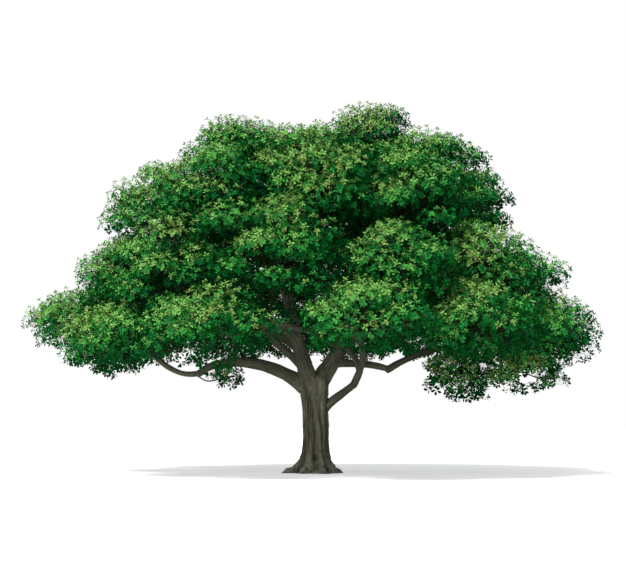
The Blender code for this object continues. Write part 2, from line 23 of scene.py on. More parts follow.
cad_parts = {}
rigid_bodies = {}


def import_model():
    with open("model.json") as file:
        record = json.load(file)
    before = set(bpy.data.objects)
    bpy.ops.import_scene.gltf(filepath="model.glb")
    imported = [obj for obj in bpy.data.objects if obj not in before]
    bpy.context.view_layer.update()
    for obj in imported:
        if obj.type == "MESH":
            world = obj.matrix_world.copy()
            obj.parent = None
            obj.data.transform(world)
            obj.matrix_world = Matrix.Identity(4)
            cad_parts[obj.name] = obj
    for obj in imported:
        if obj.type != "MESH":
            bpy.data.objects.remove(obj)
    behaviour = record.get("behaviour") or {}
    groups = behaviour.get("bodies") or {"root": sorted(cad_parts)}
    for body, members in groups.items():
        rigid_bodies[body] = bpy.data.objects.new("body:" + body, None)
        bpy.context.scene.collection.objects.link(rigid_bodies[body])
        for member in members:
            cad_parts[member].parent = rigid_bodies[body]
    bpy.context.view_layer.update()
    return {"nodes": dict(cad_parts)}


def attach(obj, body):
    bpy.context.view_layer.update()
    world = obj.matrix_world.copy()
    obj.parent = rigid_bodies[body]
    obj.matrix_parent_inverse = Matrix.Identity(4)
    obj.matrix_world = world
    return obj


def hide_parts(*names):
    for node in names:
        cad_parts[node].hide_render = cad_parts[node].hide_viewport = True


log = logging.getLogger("oak")
Array = np.ndarray

SEED = 108
UP = np.array([0.0, 0.0, 1.0])
LIGHT_FROM = np.array([-0.35, -0.50, 0.79])  # the side from which the leaves' painted light comes: sprays facing it get lighter tones and the autumn tints
ROUND = 6.28  # radians: what a seeded turn is dealt from
GOLDEN = 0.618  # steps of it spread places evenly


# ---------------------------------------------------------------- vectors and curves


def unit(vector: Array) -> Array:
    """The vector at length 1."""
    return vector / np.linalg.norm(vector)


def heading(azimuth: float, rise: float) -> Array:
    """The unit vector that points to an azimuth, so many degrees above level."""
    a, e = math.radians(azimuth), math.radians(rise)
    return np.array([math.cos(a) * math.cos(e), math.sin(a) * math.cos(e), math.sin(e)])


def at_compass(values: tuple[float, ...], azimuth: float) -> float:
    """A value between those for west, east, south and north, at an azimuth."""
    west, east, south, north = values
    along, across = math.cos(math.radians(azimuth)), math.sin(math.radians(azimuth))
    return (east if along > 0 else west) * along**2 + (north if across > 0 else south) * across**2


def bezier(start: Array, leave: Array, arrive: Array, end: Array, count: int) -> Array:
    """Points along a cubic curve.

    Args:
        start: its first point.
        leave: the direction in which it leaves there.
        arrive: the direction in which it arrives at its end.
        end: its last point.
        count: how many points to give.

    Returns:
        The points, one to a row.
    """
    pull = np.linalg.norm(end - start) / 3
    one, two = start + pull * leave, end - pull * arrive
    t = np.linspace(0, 1, count)[:, None]
    return (1 - t) ** 3 * start + 3 * t * (1 - t) ** 2 * one + 3 * t**2 * (1 - t) * two + t**3 * end


def side_axes(direction: Array) -> tuple[Array, Array]:
    """Two unit vectors square to a direction and to each other."""
    helper = UP if abs(direction[2]) < 0.9 else np.array([1.0, 0.0, 0.0])
    across = unit(np.cross(helper, direction))
    return across, np.cross(direction, across)


def along_path(path: Array, share: float) -> tuple[Array, Array]:
    """The point and the direction at a share of a path's points."""
    at = share * (len(path) - 1)
    i = min(int(at), len(path) - 2)
    return path[i] + (at - i) * (path[i + 1] - path[i]), unit(path[i + 1] - path[i])


def refine(values: Array, times: int) -> Array:
    """A smooth line through rows of values, each step cut into so many."""
    rows = np.vstack([2 * values[0] - values[1], values, 2 * values[-1] - values[-2]])
    made = []
    for i in range(len(values) - 1):
        a, b, c, d = rows[i : i + 4]
        for k in range(times):
            t = k / times
            made.append(b + t / 2 * (c - a + t * (2 * a - 5 * b + 4 * c - d + t * (3 * (b - c) + d - a))))
    return np.array([*made, values[-1]])


def spread_directions(count: int, turn: float) -> list[Array]:
    """Directions spread evenly over a ball on a golden-angle spiral, from a first turn."""
    golden = math.pi * (3 - math.sqrt(5))
    directions = []
    for k in range(count):
        level = 1 - 2 * (k + 0.5) / count
        ring = math.sqrt(1 - level * level)
        angle = turn + golden * k
        directions.append(np.array([ring * math.cos(angle), ring * math.sin(angle), level]))
    return directions


# ---------------------------------------------------------------- the frame's plan


@dataclass
class Tube:
    """A tapering limb or stem: the points along its axis and its radius at each."""

    name: str
    path: Array
    radii: Array
    goes_on: bool = False  # another limb starts on its tip
    room_share: float = 0.0  # the share of its tip's radius that a stem beside that limb takes

    def refined(self, times: int) -> tuple[Array, Array]:
        """Its path and radii, smoothed, with each step cut into so many."""
        rows = refine(np.column_stack([self.path, self.radii]), times)
        return rows[:, :3], rows[:, 3]


@dataclass(frozen=True)
class Limb:
    """One tapering limb, from its parent's axis to a tip in the foliage."""

    name: str
    parent: str
    share: float  # where its axis leaves the parent's, 0 at the foot and 1 at the tip
    azimuth: float
    reach: float  # of the tip, from the trunk's axis
    height: float  # of the tip
    leaves_at: float  # degrees above level at its foot
    arrives_at: float  # degrees above level at its tip
    foot_radius: float
    tip_radius: float
    rings: int = 9
    taper: float = 1.25
    room_used: float = 0.8  # of the room beside it on its parent's tip, by a stem

    def tube(self, parent: Tube) -> Tube:
        """Its tube. A limb that goes on from its parent's tip starts on the top of it."""
        start, ahead = along_path(parent.path, self.share)
        tip = heading(self.azimuth, 0) * self.reach + self.height * UP
        toward = math.degrees(math.atan2(tip[1] - start[1], tip[0] - start[0]))
        leave = heading(toward, self.leaves_at)
        if self.share == 1.0:
            room = parent.radii[-1] - self.foot_radius
            start = start + room * side_axes(ahead)[1]
            leave = unit(ahead + leave)
            parent.goes_on = True
            parent.room_share = self.room_used * room / parent.radii[-1]
        path = bezier(start, leave, heading(toward, self.arrives_at), tip, self.rings)
        t = np.linspace(0, 1, self.rings)
        radii = self.tip_radius + (self.foot_radius - self.tip_radius) * (1 - t) ** self.taper
        return Tube(self.name, path, radii)


OUTER_LIMBS = (  # those that show under the crown
    Limb("west_stem", "trunk", 0.84, 221, 1.9, 8.6, 60, 76, 0.29, 0.13),
    Limb("east_stem", "trunk", 0.84, 4, 2.9, 8.1, 56, 62, 0.29, 0.13),
    Limb("west_bough", "trunk", 0.79, 184, 4.17, 3.42, 46, -42, 0.27, 0.12),
    Limb("west_bough_arm", "west_bough", 1.0, 183, 6.15, 4.75, 12, 66, 0.088, 0.10),
    Limb("west_branch", "west_stem", 0.13, 184, 3.9, 7.5, 44, 58, 0.14, 0.12),
    Limb("east_side_bough", "trunk", 0.58, 354, 1.35, 3.10, 46, 38, 0.18, 0.12),
    Limb("east_side_arm", "east_side_bough", 1.0, 285, 4.5, 4.9, 80, 14, 0.115, 0.10),
    Limb("south_branch", "east_side_arm", 0.12, 252, 4.7, 5.0, 64, 14, 0.085, 0.10),
    Limb("east_bough", "east_stem", 0.20, 357, 2.55, 3.62, -8, -22, 0.15, 0.11),
    Limb("east_bough_arm", "east_bough", 1.0, 0, 6.0, 4.55, 88, 3, 0.11, 0.10),
)
LOWER_LIMB = (4.9, 5.1, 26, 2, 0.17, 0.12, 7)
UPPER_LIMB = (2.9, 8.3, 42, 58, 0.14, 0.12, 7)
INNER_LIMBS = (
    Limb("south_west_limb", "west_stem", 0.34, 222, *LOWER_LIMB),
    Limb("north_west_limb", "west_stem", 0.28, 138, *LOWER_LIMB),
    Limb("north_limb", "east_stem", 0.27, 92, *LOWER_LIMB),
    Limb("north_east_limb", "east_stem", 0.34, 43, *LOWER_LIMB),
    Limb("south_east_limb", "east_stem", 0.30, 320, *LOWER_LIMB),
    Limb("upper_north_west_limb", "west_stem", 0.50, 125, *UPPER_LIMB),
    Limb("upper_north_east_limb", "east_stem", 0.55, 58, *UPPER_LIMB),
    Limb("upper_south_east_limb", "east_stem", 0.48, 304, *UPPER_LIMB),
)

SHIFTS = {  # masses that stand off their tier's place, east, north and up
    "skirt_foliage_01": (-0.05, 0.0, 0.05),
    "skirt_foliage_02": (0.3, 0.0, 0.0),
    "skirt_foliage_04": (0.45, 0.0, -0.25),
    "skirt_foliage_06": (0.0, 0.0, -0.3),
    "shoulder_foliage_03": (-0.2, 0.0, 0.0),
    "shoulder_foliage_04": (0.0, 0.0, -0.15),
    "shoulder_foliage_10": (0.15, 0.0, -0.1),
    "upper_foliage_03": (0.0, 0.0, 0.15),
    "upper_foliage_08": (-0.2, 0.0, -0.25),
    "upper_foliage_09": (-0.15, 0.0, 0.1),
    "top_foliage_01": (-0.45, 0.0, 0.05),
    "top_foliage_04": (0.05, 0.0, 0.0),
    "top_foliage_05": (-0.25, 0.0, 0.0),
}


@dataclass
class Mass:
    """A mass of foliage: where it is, how large, its own axes, and the stem that carries it."""

    name: str
    centre: Array
    size: Array  # half sizes outward, sideways and upward
    axes: Array  # rows: outward, sideways, upward
    seed: int
    limb: str = ""
    stem: Tube | None = None
    heart_share: float = 0.35  # how far in from its middle its stem ends, as a share of its size

    @classmethod
    def standing_at(
        cls, name: str, azimuth: float, reach: float, height: float, size: tuple, seed: int, limb: str = ""
    ) -> Mass:
        """A mass whose own axes face outward from the trunk.

        Args:
            name: its node's name.
            azimuth: where it stands round the trunk.
            reach: how far out its middle is.
            height: how high its middle is.
            size: its half sizes outward, sideways and upward.
            seed: what its twigs are dealt by.
            limb: the limb that carries it, where that is given.

        Returns:
            The mass, without its stem.
        """
        outward = heading(azimuth, 0)
        axes = np.array([outward, np.cross(UP, outward), UP])
        return cls(name, reach * outward + height * UP, np.array(size, float), axes, seed, limb)

    def place(self, direction: Array, share: float) -> Array:
        """The point that lies along a direction of the mass's own axes, at a share of its size."""
        return self.centre + share * (np.asarray(direction) * self.size) @ self.axes

    def half_width(self, direction: Array) -> float:
        """How far its surface is from its middle, along a direction."""
        return 1 / float(np.linalg.norm((self.axes @ direction) / self.size))

    def heart(self) -> Array:
        """Where its stem ends."""
        return self.place(np.array([-1.0, 0.0, 0.0]), self.heart_share)


@dataclass(frozen=True)
class Tier:
    """A ring of masses. Each compass value is for west, east, south and north in turn."""

    name: str
    count: int
    first_azimuth: float
    reach: tuple[float, ...]
    height: tuple[float, ...]
    size: tuple[float, float, float]
    jitter: tuple = (0.25, 0.25, 0.4)  # how far a mass may stray from its place

    def masses(self, before: int) -> list[Mass]:
        """Its masses, the seeds counted on from those before."""
        made = []
        for k in range(self.count):
            azimuth = self.first_azimuth + 360 * k / self.count
            seed = SEED + 100 * (before + k)
            chance = random.Random(seed)
            reach, height = at_compass(self.reach, azimuth), at_compass(self.height, azimuth)
            name = f"{self.name}_foliage_{k + 1:02d}"
            mass = Mass.standing_at(name, azimuth, reach, height, self.size, seed)
            mass.centre += [chance.uniform(-most, most) for most in self.jitter]
            mass.centre += SHIFTS.get(mass.name, 0.0)
            made.append(mass)
        return made


@dataclass
class Plan:
    """The tree's plan, as its frame was built: the trunk, limbs, masses and their stems."""

    trunk_top: float = 3.42
    trunk_shift_at_top: float = -0.14
    trunk_profile: tuple = (  # heights and radii
        (0.00, 0.74),
        (0.10, 0.66),
        (0.25, 0.57),
        (0.45, 0.495),
        (0.80, 0.45),
        (1.30, 0.425),
        (1.90, 0.42),
        (2.40, 0.43),
        (2.80, 0.47),
        (3.15, 0.53),
    )
    trunk_rings: int = 9
    root_flares: tuple = (  # their azimuths, and how far they reach out at the ground
        (183, 0.52),
        (235, 0.24),
        (292, 0.30),
        (345, 0.26),
        (40, 0.34),
        (100, 0.30),
        (142, 0.28),
    )
    flare_width: float = 17.0  # degrees
    flare_height: float = 0.24
    tiers: tuple = (
        Tier("skirt", 11, 180, (8.15, 8.35, 7.4, 7.6), (4.85, 4.8, 4.6, 5.45), (1.7, 2.4, 1.3)),
        Tier("shoulder", 11, 262, (7.0, 7.1, 6.3, 6.5), (6.7, 6.6, 6.6, 6.8), (1.75, 2.15, 1.7)),
        Tier("upper", 9, 270, (5.35, 5.4, 5.0, 5.2), (9.2, 9.3, 9.2, 9.2), (1.75, 2.1, 1.75)),
        Tier("top", 5, 342, (3.15, 4.7, 2.8, 2.9), (11.3, 10.6, 10.1, 11.0), (1.7, 2.0, 1.4)),
    )
    single_masses: tuple = (  # name, azimuth, reach, height, size and limb
        ("crest", 6, 2.0, 11.85, (1.75, 1.55, 1.35), ""),
        ("hanging_west", 184, 7.55, 4.15, (1.3, 1.0, 0.8), ""),
        ("hanging_east", 353, 5.0, 3.35, (1.25, 1.2, 1.05), ""),
        ("hanging_far_east", 350, 7.35, 3.6, (1.6, 1.2, 1.0), ""),
        ("bough_tuft", 185, 3.2, 3.36, (0.9, 0.5, 0.37), "west_bough"),
    )
    stem_shares: tuple = (0.85, 0.46, 0.42, 0.37, 0.32)  # a stem's foot by the stems on its limb
    stem_seat: float = 0.96  # how near to its tip's rim a stem may come
    stem_splay: float = 0.6  # how much stems side by side lean apart
    stem_end: float = 0.03  # its radius at the heart of its mass
    stem_rings: int = 4
    busy_tip: float = 0.5  # each stem on a tip makes it seem this much further off
    tubes: dict[str, Tube] = field(default_factory=dict)
    masses: list[Mass] = field(default_factory=list)

    def __post_init__(self) -> None:
        """Works the plan out in the frame's own order."""
        heights = np.linspace(0, self.trunk_top, self.trunk_rings)
        radii = np.interp(heights, *np.array(self.trunk_profile).T)
        self.tubes["trunk"] = Tube("trunk", np.array([self.trunk_axis(h) for h in heights]), radii)
        for limb in (*OUTER_LIMBS, *INNER_LIMBS):
            self.tubes[limb.name] = limb.tube(self.tubes[limb.parent])
        for tier in self.tiers:
            self.masses += tier.masses(len(self.masses))
        for name, *place, limb in self.single_masses:
            seed = SEED + 100 * len(self.masses)
            self.masses.append(Mass.standing_at(f"{name}_foliage", *place, seed, limb))
        self.give_stems()

    def trunk_axis(self, height: float) -> Array:
        """The middle of the trunk at a height."""
        return np.array([self.trunk_shift_at_top * (height / self.trunk_top) ** 3, 0.0, height])

    def flare_reach(self, azimuth: Array, height: Array) -> Array:
        """How far the root flares carry the trunk's surface out, at azimuths and heights."""
        reach = np.zeros(np.broadcast(azimuth, height).shape)
        for crest, most in self.root_flares:
            off = (azimuth - crest + 180) % 360 - 180
            reach += most * np.exp(-((off / self.flare_width) ** 2))
        return reach * np.exp(-height / self.flare_height)

    def share_out(self) -> dict[str, list[Mass]]:
        """Gives each mass the limb whose tip is nearest to it, a busy tip seeming further off."""
        carried = {name: [] for name in self.tubes if name != "trunk"}
        for mass in sorted(self.masses, key=lambda mass: not mass.limb):
            heart = mass.heart()
            if not mass.limb:
                mass.limb = min(
                    (name for name in carried if not self.tubes[name].goes_on),
                    key=lambda name: np.linalg.norm(self.tubes[name].path[-1] - heart)
                    + self.busy_tip * len(carried[name]),
                )
            carried[mass.limb].append(mass)
        return carried

    def give_stems(self) -> None:
        """Runs a stem to the heart of each mass from the end of its limb, the stems side by side."""
        for name, group in self.share_out().items():
            if not group:
                continue
            limb = self.tubes[name]
            end, end_radius = limb.path[-1], limb.radii[-1]
            ahead = unit(limb.path[-1] - limb.path[-2])
            across, up = side_axes(ahead)
            if limb.goes_on:
                places, share = {group[0].name: -math.pi / 2}, limb.room_share
            else:
                offs = {mass.name: mass.heart() - end for mass in group}
                turns = {key: math.atan2(off @ up, off @ across) for key, off in offs.items()}
                order = sorted(turns, key=turns.get)
                slot = 2 * math.pi / len(order)
                drift = sum(cmath.exp(1j * (turns[key] - slot * k)) for k, key in enumerate(order))
                places = {key: slot * k + cmath.phase(drift) for k, key in enumerate(order)}
                share = self.stem_shares[len(order) - 1]
            for mass in group:
                side = math.cos(places[mass.name]) * across + math.sin(places[mass.name]) * up
                spread = 0.0 if len(group) == 1 and not limb.goes_on else 1.0
                foot = end + spread * self.stem_seat * end_radius * (1 - share) * side
                heart = mass.heart()
                leave = side if limb.goes_on else unit(ahead + spread * self.stem_splay * side)
                path = bezier(foot, leave, unit(heart - foot), heart, self.stem_rings)
                radii = np.linspace(share * end_radius, self.stem_end, self.stem_rings)
                mass.stem = Tube(f"{mass.name}_stem", path, radii)

    def walls(self, mass: Mass) -> tuple[Array, Array]:
        """The flat walls of a mass's own space, one between it and each of the others.

        Args:
            mass: the mass whose space it is.

        Returns:
            Normals and offsets: a point p is inside where normal . p is less than the offset.
        """
        normals, offsets = [], []
        for other in self.masses:
            if other is mass:
                continue
            apart = other.centre - mass.centre
            distance = np.linalg.norm(apart)
            normal = apart / distance
            own, its = mass.half_width(normal), other.half_width(normal)
            normals.append(normal)
            offsets.append(normal @ mass.centre + distance * own / (own + its))
        return np.array(normals), np.array(offsets)


def reach_in_walls(start: Array, direction: Array, wanted: float, walls: tuple[Array, Array]) -> float:
    """How far along a direction a point may go inside walls, up to the wanted length."""
    normals, offsets = walls
    closing = normals @ direction
    meets = closing > 1e-9
    room = (offsets - normals @ start)[meets] / closing[meets]
    return float(min(wanted, room.min())) if len(room) else wanted


class Grain:
    """How points lie to a set of tapering tubes: which is near, how far off, and where along it."""

    lot = 3000  # points that are measured at once

    def __init__(self, tubes: list[Tube], times: int = 4) -> None:
        """Lists the straight lengths of every tube, each with its own turning axes.

        Args:
            tubes: the trunk, limbs or stems.
            times: how many lengths each step of a tube is cut into.
        """
        starts, steps, radii, tapers, firsts, across, along = [], [], [], [], [], [], []
        for tube in tubes:
            path, girth = tube.refined(times)
            firsts.append(len(starts))
            side, _ = side_axes(unit(path[1] - path[0]))
            run = 0.0
            for i in range(len(path) - 1):
                step = path[i + 1] - path[i]
                side = unit(side - (side @ unit(step)) * unit(step))
                starts.append(path[i])
                steps.append(step)
                radii.append(girth[i])
                tapers.append(girth[i + 1] - girth[i])
                across.append(side)
                along.append(run)
                run += float(np.linalg.norm(step))
        self.starts, self.steps = np.array(starts, np.float32), np.array(steps, np.float32)
        self.radii, self.tapers = np.array(radii, np.float32), np.array(tapers, np.float32)
        self.across, self.along = np.array(across, np.float32), np.array(along, np.float32)
        self.firsts = np.array(firsts)
        self.lengths = (self.steps**2).sum(1)

    def _gaps(self, points: Array) -> tuple[Array, Array]:
        """The gap from each point to each length's surface, and the share along it."""
        away = points[:, None, :] - self.starts
        t = np.clip((away * self.steps).sum(2) / self.lengths, 0, 1)
        gaps = np.linalg.norm(away - t[:, :, None] * self.steps, axis=2) - self.radii - t * self.tapers
        return gaps, t

    def _lots(self, points: Array) -> list[Array]:
        """The points, in lots small enough to be measured at once."""
        return [points[i : i + self.lot].astype(np.float32) for i in range(0, len(points), self.lot)]

    def clear_of(self, points: Array) -> Array:
        """The distance from each point to the nearest tube's surface."""
        return np.concatenate([self._gaps(chunk)[0].min(1) for chunk in self._lots(points)])

    def lie_of(self, points: Array) -> list[tuple[Array, Array, Array, Array]]:
        """How points lie to the nearest tube, then to the second nearest.

        Args:
            points: the points, one to a row.

        Returns:
            For each of the two: the tube's number, the gap, its radius there, and the point in the tube's
            own axes, across, up and along.
        """
        parts = []
        for chunk in self._lots(points):
            gaps, t = self._gaps(chunk)
            best = np.minimum.reduceat(gaps, self.firsts, axis=1)
            order = np.argsort(best, axis=1)[:, :2]
            rows = np.arange(len(chunk))
            for rank in (0, 1):
                tube = order[:, rank]
                gap = best[rows, tube]
                at = np.abs(gaps - gap[:, None]).argmin(1)
                share = t[rows, at]
                ahead = self.steps[at] / np.sqrt(self.lengths[at])[:, None]
                off = chunk - self.starts[at] - share[:, None] * self.steps[at]
                side = self.across[at]
                place = np.column_stack(
                    [
                        (off * side).sum(1),
                        (off * np.cross(ahead, side)).sum(1),
                        self.along[at] + share * np.sqrt(self.lengths[at]),
                    ]
                )
                radius = self.radii[at] + share * self.tapers[at]
                parts.append((rank, tube, gap, radius, place))
        ranked = []
        for rank in (0, 1):
            mine = [part[1:] for part in parts if part[0] == rank]
            ranked.append(tuple(np.concatenate(column) for column in zip(*mine)))
        return ranked


# ---------------------------------------------------------------- meshes


def mesh_object(name: str, points: Array, faces: list, edges: list | None = None) -> bpy.types.Object:
    """A mesh object in the scene, with its place in its mesh."""
    mesh = bpy.data.meshes.new(name)
    mesh.from_pydata(np.asarray(points, float).tolist(), edges or [], faces)
    made = bpy.data.objects.new(name, mesh)
    bpy.context.scene.collection.objects.link(made)
    return made


def put_values(mesh: bpy.types.Mesh, name: str, kind: str, values: Array) -> None:
    """Stores a value for each point of a mesh, as a named attribute.

    Args:
        mesh: the mesh.
        name: the attribute's name.
        kind: FLOAT, INT or FLOAT_VECTOR.
        values: one value, or row, to a point.
    """
    attribute = mesh.attributes.new(name, kind, "POINT")
    key = "vector" if kind == "FLOAT_VECTOR" else "value"
    as_type = np.int32 if kind == "INT" else np.float32
    attribute.data.foreach_set(key, np.asarray(values, as_type).ravel())


def settle(target: bpy.types.Object) -> None:
    """Turns an object's evaluated shape into its plain mesh, and removes its modifiers."""
    graph = bpy.context.evaluated_depsgraph_get()
    mesh = bpy.data.meshes.new_from_object(target.evaluated_get(graph))
    target.modifiers.clear()
    old = target.data
    target.data = mesh
    bpy.data.meshes.remove(old)
    mesh.name = target.name


def triangles(target: bpy.types.Object) -> int:
    """How many triangles an object's mesh has."""
    return sum(len(face.vertices) - 2 for face in target.data.polygons)


def own(target: bpy.types.Object, slot: str, nodes: list[str]) -> None:
    """Rides a finished piece on the tree's one body, and hides the nodes that it stands for."""
    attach(target, "root")
    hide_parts(*nodes)
    log.info("%s: %d triangles", target.name, triangles(target))


# ---------------------------------------------------------------- node trees


def wire(
    tree: bpy.types.NodeTree, kind: str, settings: dict | None = None, **inputs: object
) -> bpy.types.Node:
    """Adds a node to a tree and fills its inputs.

    Args:
        tree: the node tree.
        kind: the node's type name.
        settings: the node's own properties.
        **inputs: a value, or another node's output, by input name; an underscore stands for a space,
            and a name such as _2 for the input's place.

    Returns:
        The node.
    """
    node = tree.nodes.new(kind)
    for key, value in (settings or {}).items():
        setattr(node, key, value)
    for key, value in inputs.items():
        socket = node.inputs[int(key[1:])] if key[0] == "_" else node.inputs[key.replace("_", " ")]
        if isinstance(value, bpy.types.NodeSocket):
            tree.links.new(value, socket)
        else:
            socket.default_value = value
    return node


def sockets(tree: bpy.types.NodeTree, inputs: dict[str, tuple], outputs: dict[str, str]) -> None:
    """Gives a node group its named inputs, each a socket type and a starting value, and its outputs."""
    for name, (kind, start) in inputs.items():
        made = tree.interface.new_socket(name, in_out="INPUT", socket_type=kind)
        if start is not None:
            made.default_value = start
    for name, kind in outputs.items():
        tree.interface.new_socket(name, in_out="OUTPUT", socket_type=kind)


class NodeWork:
    """A Geometry Nodes tree that is built once and used on many pieces."""

    def __init__(self, name: str, inputs: dict[str, tuple]) -> None:
        """Starts the tree with its named inputs, a geometry in and a geometry out."""
        self.tree = bpy.data.node_groups.new(name, "GeometryNodeTree")
        shape = "NodeSocketGeometry"
        sockets(self.tree, {"Geometry": (shape, None), **inputs}, {"Geometry": shape})
        self.inputs = wire(self.tree, "NodeGroupInput")

    def close(self, geometry: bpy.types.NodeSocket) -> None:
        """Ends the tree: instances made real, and the finish put on."""
        real = wire(self.tree, "GeometryNodeRealizeInstances", Geometry=geometry)
        finish = self.inputs.outputs["Finish"]
        finished = wire(self.tree, "GeometryNodeSetMaterial", Geometry=real.outputs[0], Material=finish)
        wire(self.tree, "NodeGroupOutput", Geometry=finished.outputs[0])

    def run(self, target: bpy.types.Object, **values: object) -> None:
        """Runs the tree on an object and keeps the result as its plain mesh.

        Args:
            target: the object.
            **values: the tree's inputs by name, an underscore standing for a space.
        """
        modifier = target.modifiers.new(self.tree.name, "NODES")
        modifier.node_group = self.tree
        items = self.tree.interface.items_tree
        named = {item.name: item.identifier for item in items if item.item_type == "SOCKET"}
        for key, value in values.items():
            modifier[named[key.replace("_", " ")]] = value
        settle(target)


def skin_tree() -> NodeWork:
    """A skin over tapering lines: each line of edges becomes a closed tube of its points' girth."""
    work = NodeWork("line_skin", {"Sides": ("NodeSocketInt", 3), "Finish": ("NodeSocketMaterial", None)})
    tree = work.tree
    girth = wire(tree, "GeometryNodeInputNamedAttribute", {"data_type": "FLOAT"}, Name="girth")
    curve = wire(tree, "GeometryNodeMeshToCurve", Mesh=work.inputs.outputs["Geometry"])
    ring = wire(tree, "GeometryNodeCurvePrimitiveCircle", Resolution=work.inputs.outputs["Sides"], Radius=1.0)
    tube = wire(
        tree,
        "GeometryNodeCurveToMesh",
        Curve=curve.outputs[0],
        Profile_Curve=ring.outputs[0],
        Scale=girth.outputs[0],
        Fill_Caps=True,
    )
    smooth = wire(tree, "GeometryNodeSetShadeSmooth", Geometry=tube.outputs[0], Shade_Smooth=True)
    work.close(smooth.outputs[0])
    return work


def spray_tree() -> NodeWork:
    """Sprays of leaves on points, each turned to its own aim, at its own size, in one of a few forms."""
    inputs = {"Forms": ("NodeSocketCollection", None), "Finish": ("NodeSocketMaterial", None)}
    work = NodeWork("leaf_sprays", inputs)
    tree = work.tree
    values = {
        name: wire(tree, "GeometryNodeInputNamedAttribute", {"data_type": kind}, Name=name).outputs[0]
        for name, kind in (("aim", "FLOAT_VECTOR"), ("turn", "FLOAT"), ("size", "FLOAT"), ("form", "INT"))
    }
    forms = wire(
        tree,
        "GeometryNodeCollectionInfo",
        Collection=work.inputs.outputs["Forms"],
        Separate_Children=True,
        Reset_Children=True,
    )
    aimed = wire(tree, "FunctionNodeAlignRotationToVector", {"axis": "Z"}, Vector=values["aim"])
    spin = wire(tree, "FunctionNodeAxisAngleToRotation", Axis=(0.0, 0.0, 1.0), Angle=values["turn"])
    turned = wire(
        tree,
        "FunctionNodeRotateRotation",
        {"rotation_space": "LOCAL"},
        Rotation=aimed.outputs[0],
        Rotate_By=spin.outputs[0],
    )
    placed = wire(
        tree,
        "GeometryNodeInstanceOnPoints",
        Points=work.inputs.outputs["Geometry"],
        Instance=forms.outputs[0],
        Pick_Instance=True,
        Instance_Index=values["form"],
        Rotation=turned.outputs[0],
        Scale=values["size"],
    )
    work.close(placed.outputs[0])
    return work


# ---------------------------------------------------------------- finishes


Colour = tuple[float, float, float]


def cloud(
    tree: bpy.types.NodeTree, place: bpy.types.NodeSocket, scale: object, detail: float, rough: float = 0.5
) -> bpy.types.NodeSocket:
    """A soft noise over a place: how fine it is, in how many finer layers, and how strong those are."""
    noise_node = wire(tree, "ShaderNodeTexNoise", Vector=place, Scale=scale, Detail=detail, Roughness=rough)
    return noise_node.outputs[0]


def ramp(
    tree: bpy.types.NodeTree, value: bpy.types.NodeSocket, start: float, end: float, **to: float
) -> bpy.types.NodeSocket:
    """What runs from 0 to 1, or between other limits, as a value runs from a start to an end."""
    return wire(tree, "ShaderNodeMapRange", Value=value, From_Min=start, From_Max=end, **to).outputs[0]


def times(tree: bpy.types.NodeTree, one: bpy.types.NodeSocket, other: object) -> bpy.types.NodeSocket:
    """The product of two values."""
    return wire(tree, "ShaderNodeMath", {"operation": "MULTIPLY"}, _0=one, _1=other).outputs[0]


def laid_over(
    tree: bpy.types.NodeTree, amount: bpy.types.NodeSocket, under: bpy.types.NodeSocket, over: object
) -> bpy.types.NodeSocket:
    """One colour laid over another, by an amount from 0 to 1."""
    return wire(tree, "ShaderNodeMix", {"data_type": "RGBA"}, _0=amount, _6=under, _7=over).outputs[2]


def mottle_group() -> bpy.types.NodeTree:
    """A shader group: two colours and a dark one mixed in soft patches, along with a mask of them."""
    tree = bpy.data.node_groups.new("mottle", "ShaderNodeTree")
    sockets(
        tree,
        {
            "Place": ("NodeSocketVector", None),
            "Patch Scale": ("NodeSocketFloat", 3.0),
            "Fleck Scale": ("NodeSocketFloat", 30.0),
            "Fleck": ("NodeSocketFloat", 0.5),
            "Colour": ("NodeSocketColor", None),
            "Second": ("NodeSocketColor", None),
            "Dark": ("NodeSocketColor", None),
        },
        {"Colour": "NodeSocketColor", "Mask": "NodeSocketFloat"},
    )
    source = wire(tree, "NodeGroupInput").outputs
    edge = ramp(tree, cloud(tree, source["Place"], source["Patch Scale"], 3.0, 0.6), 0.38, 0.62)
    speck = ramp(tree, cloud(tree, source["Place"], source["Fleck Scale"], 2.0, 0.6), 0.52, 0.72)
    soft = laid_over(tree, edge, source["Colour"], source["Second"])
    spotted = laid_over(tree, times(tree, speck, source["Fleck"]), soft, source["Dark"])
    wire(tree, "NodeGroupOutput", _0=spotted, _1=edge)
    return tree


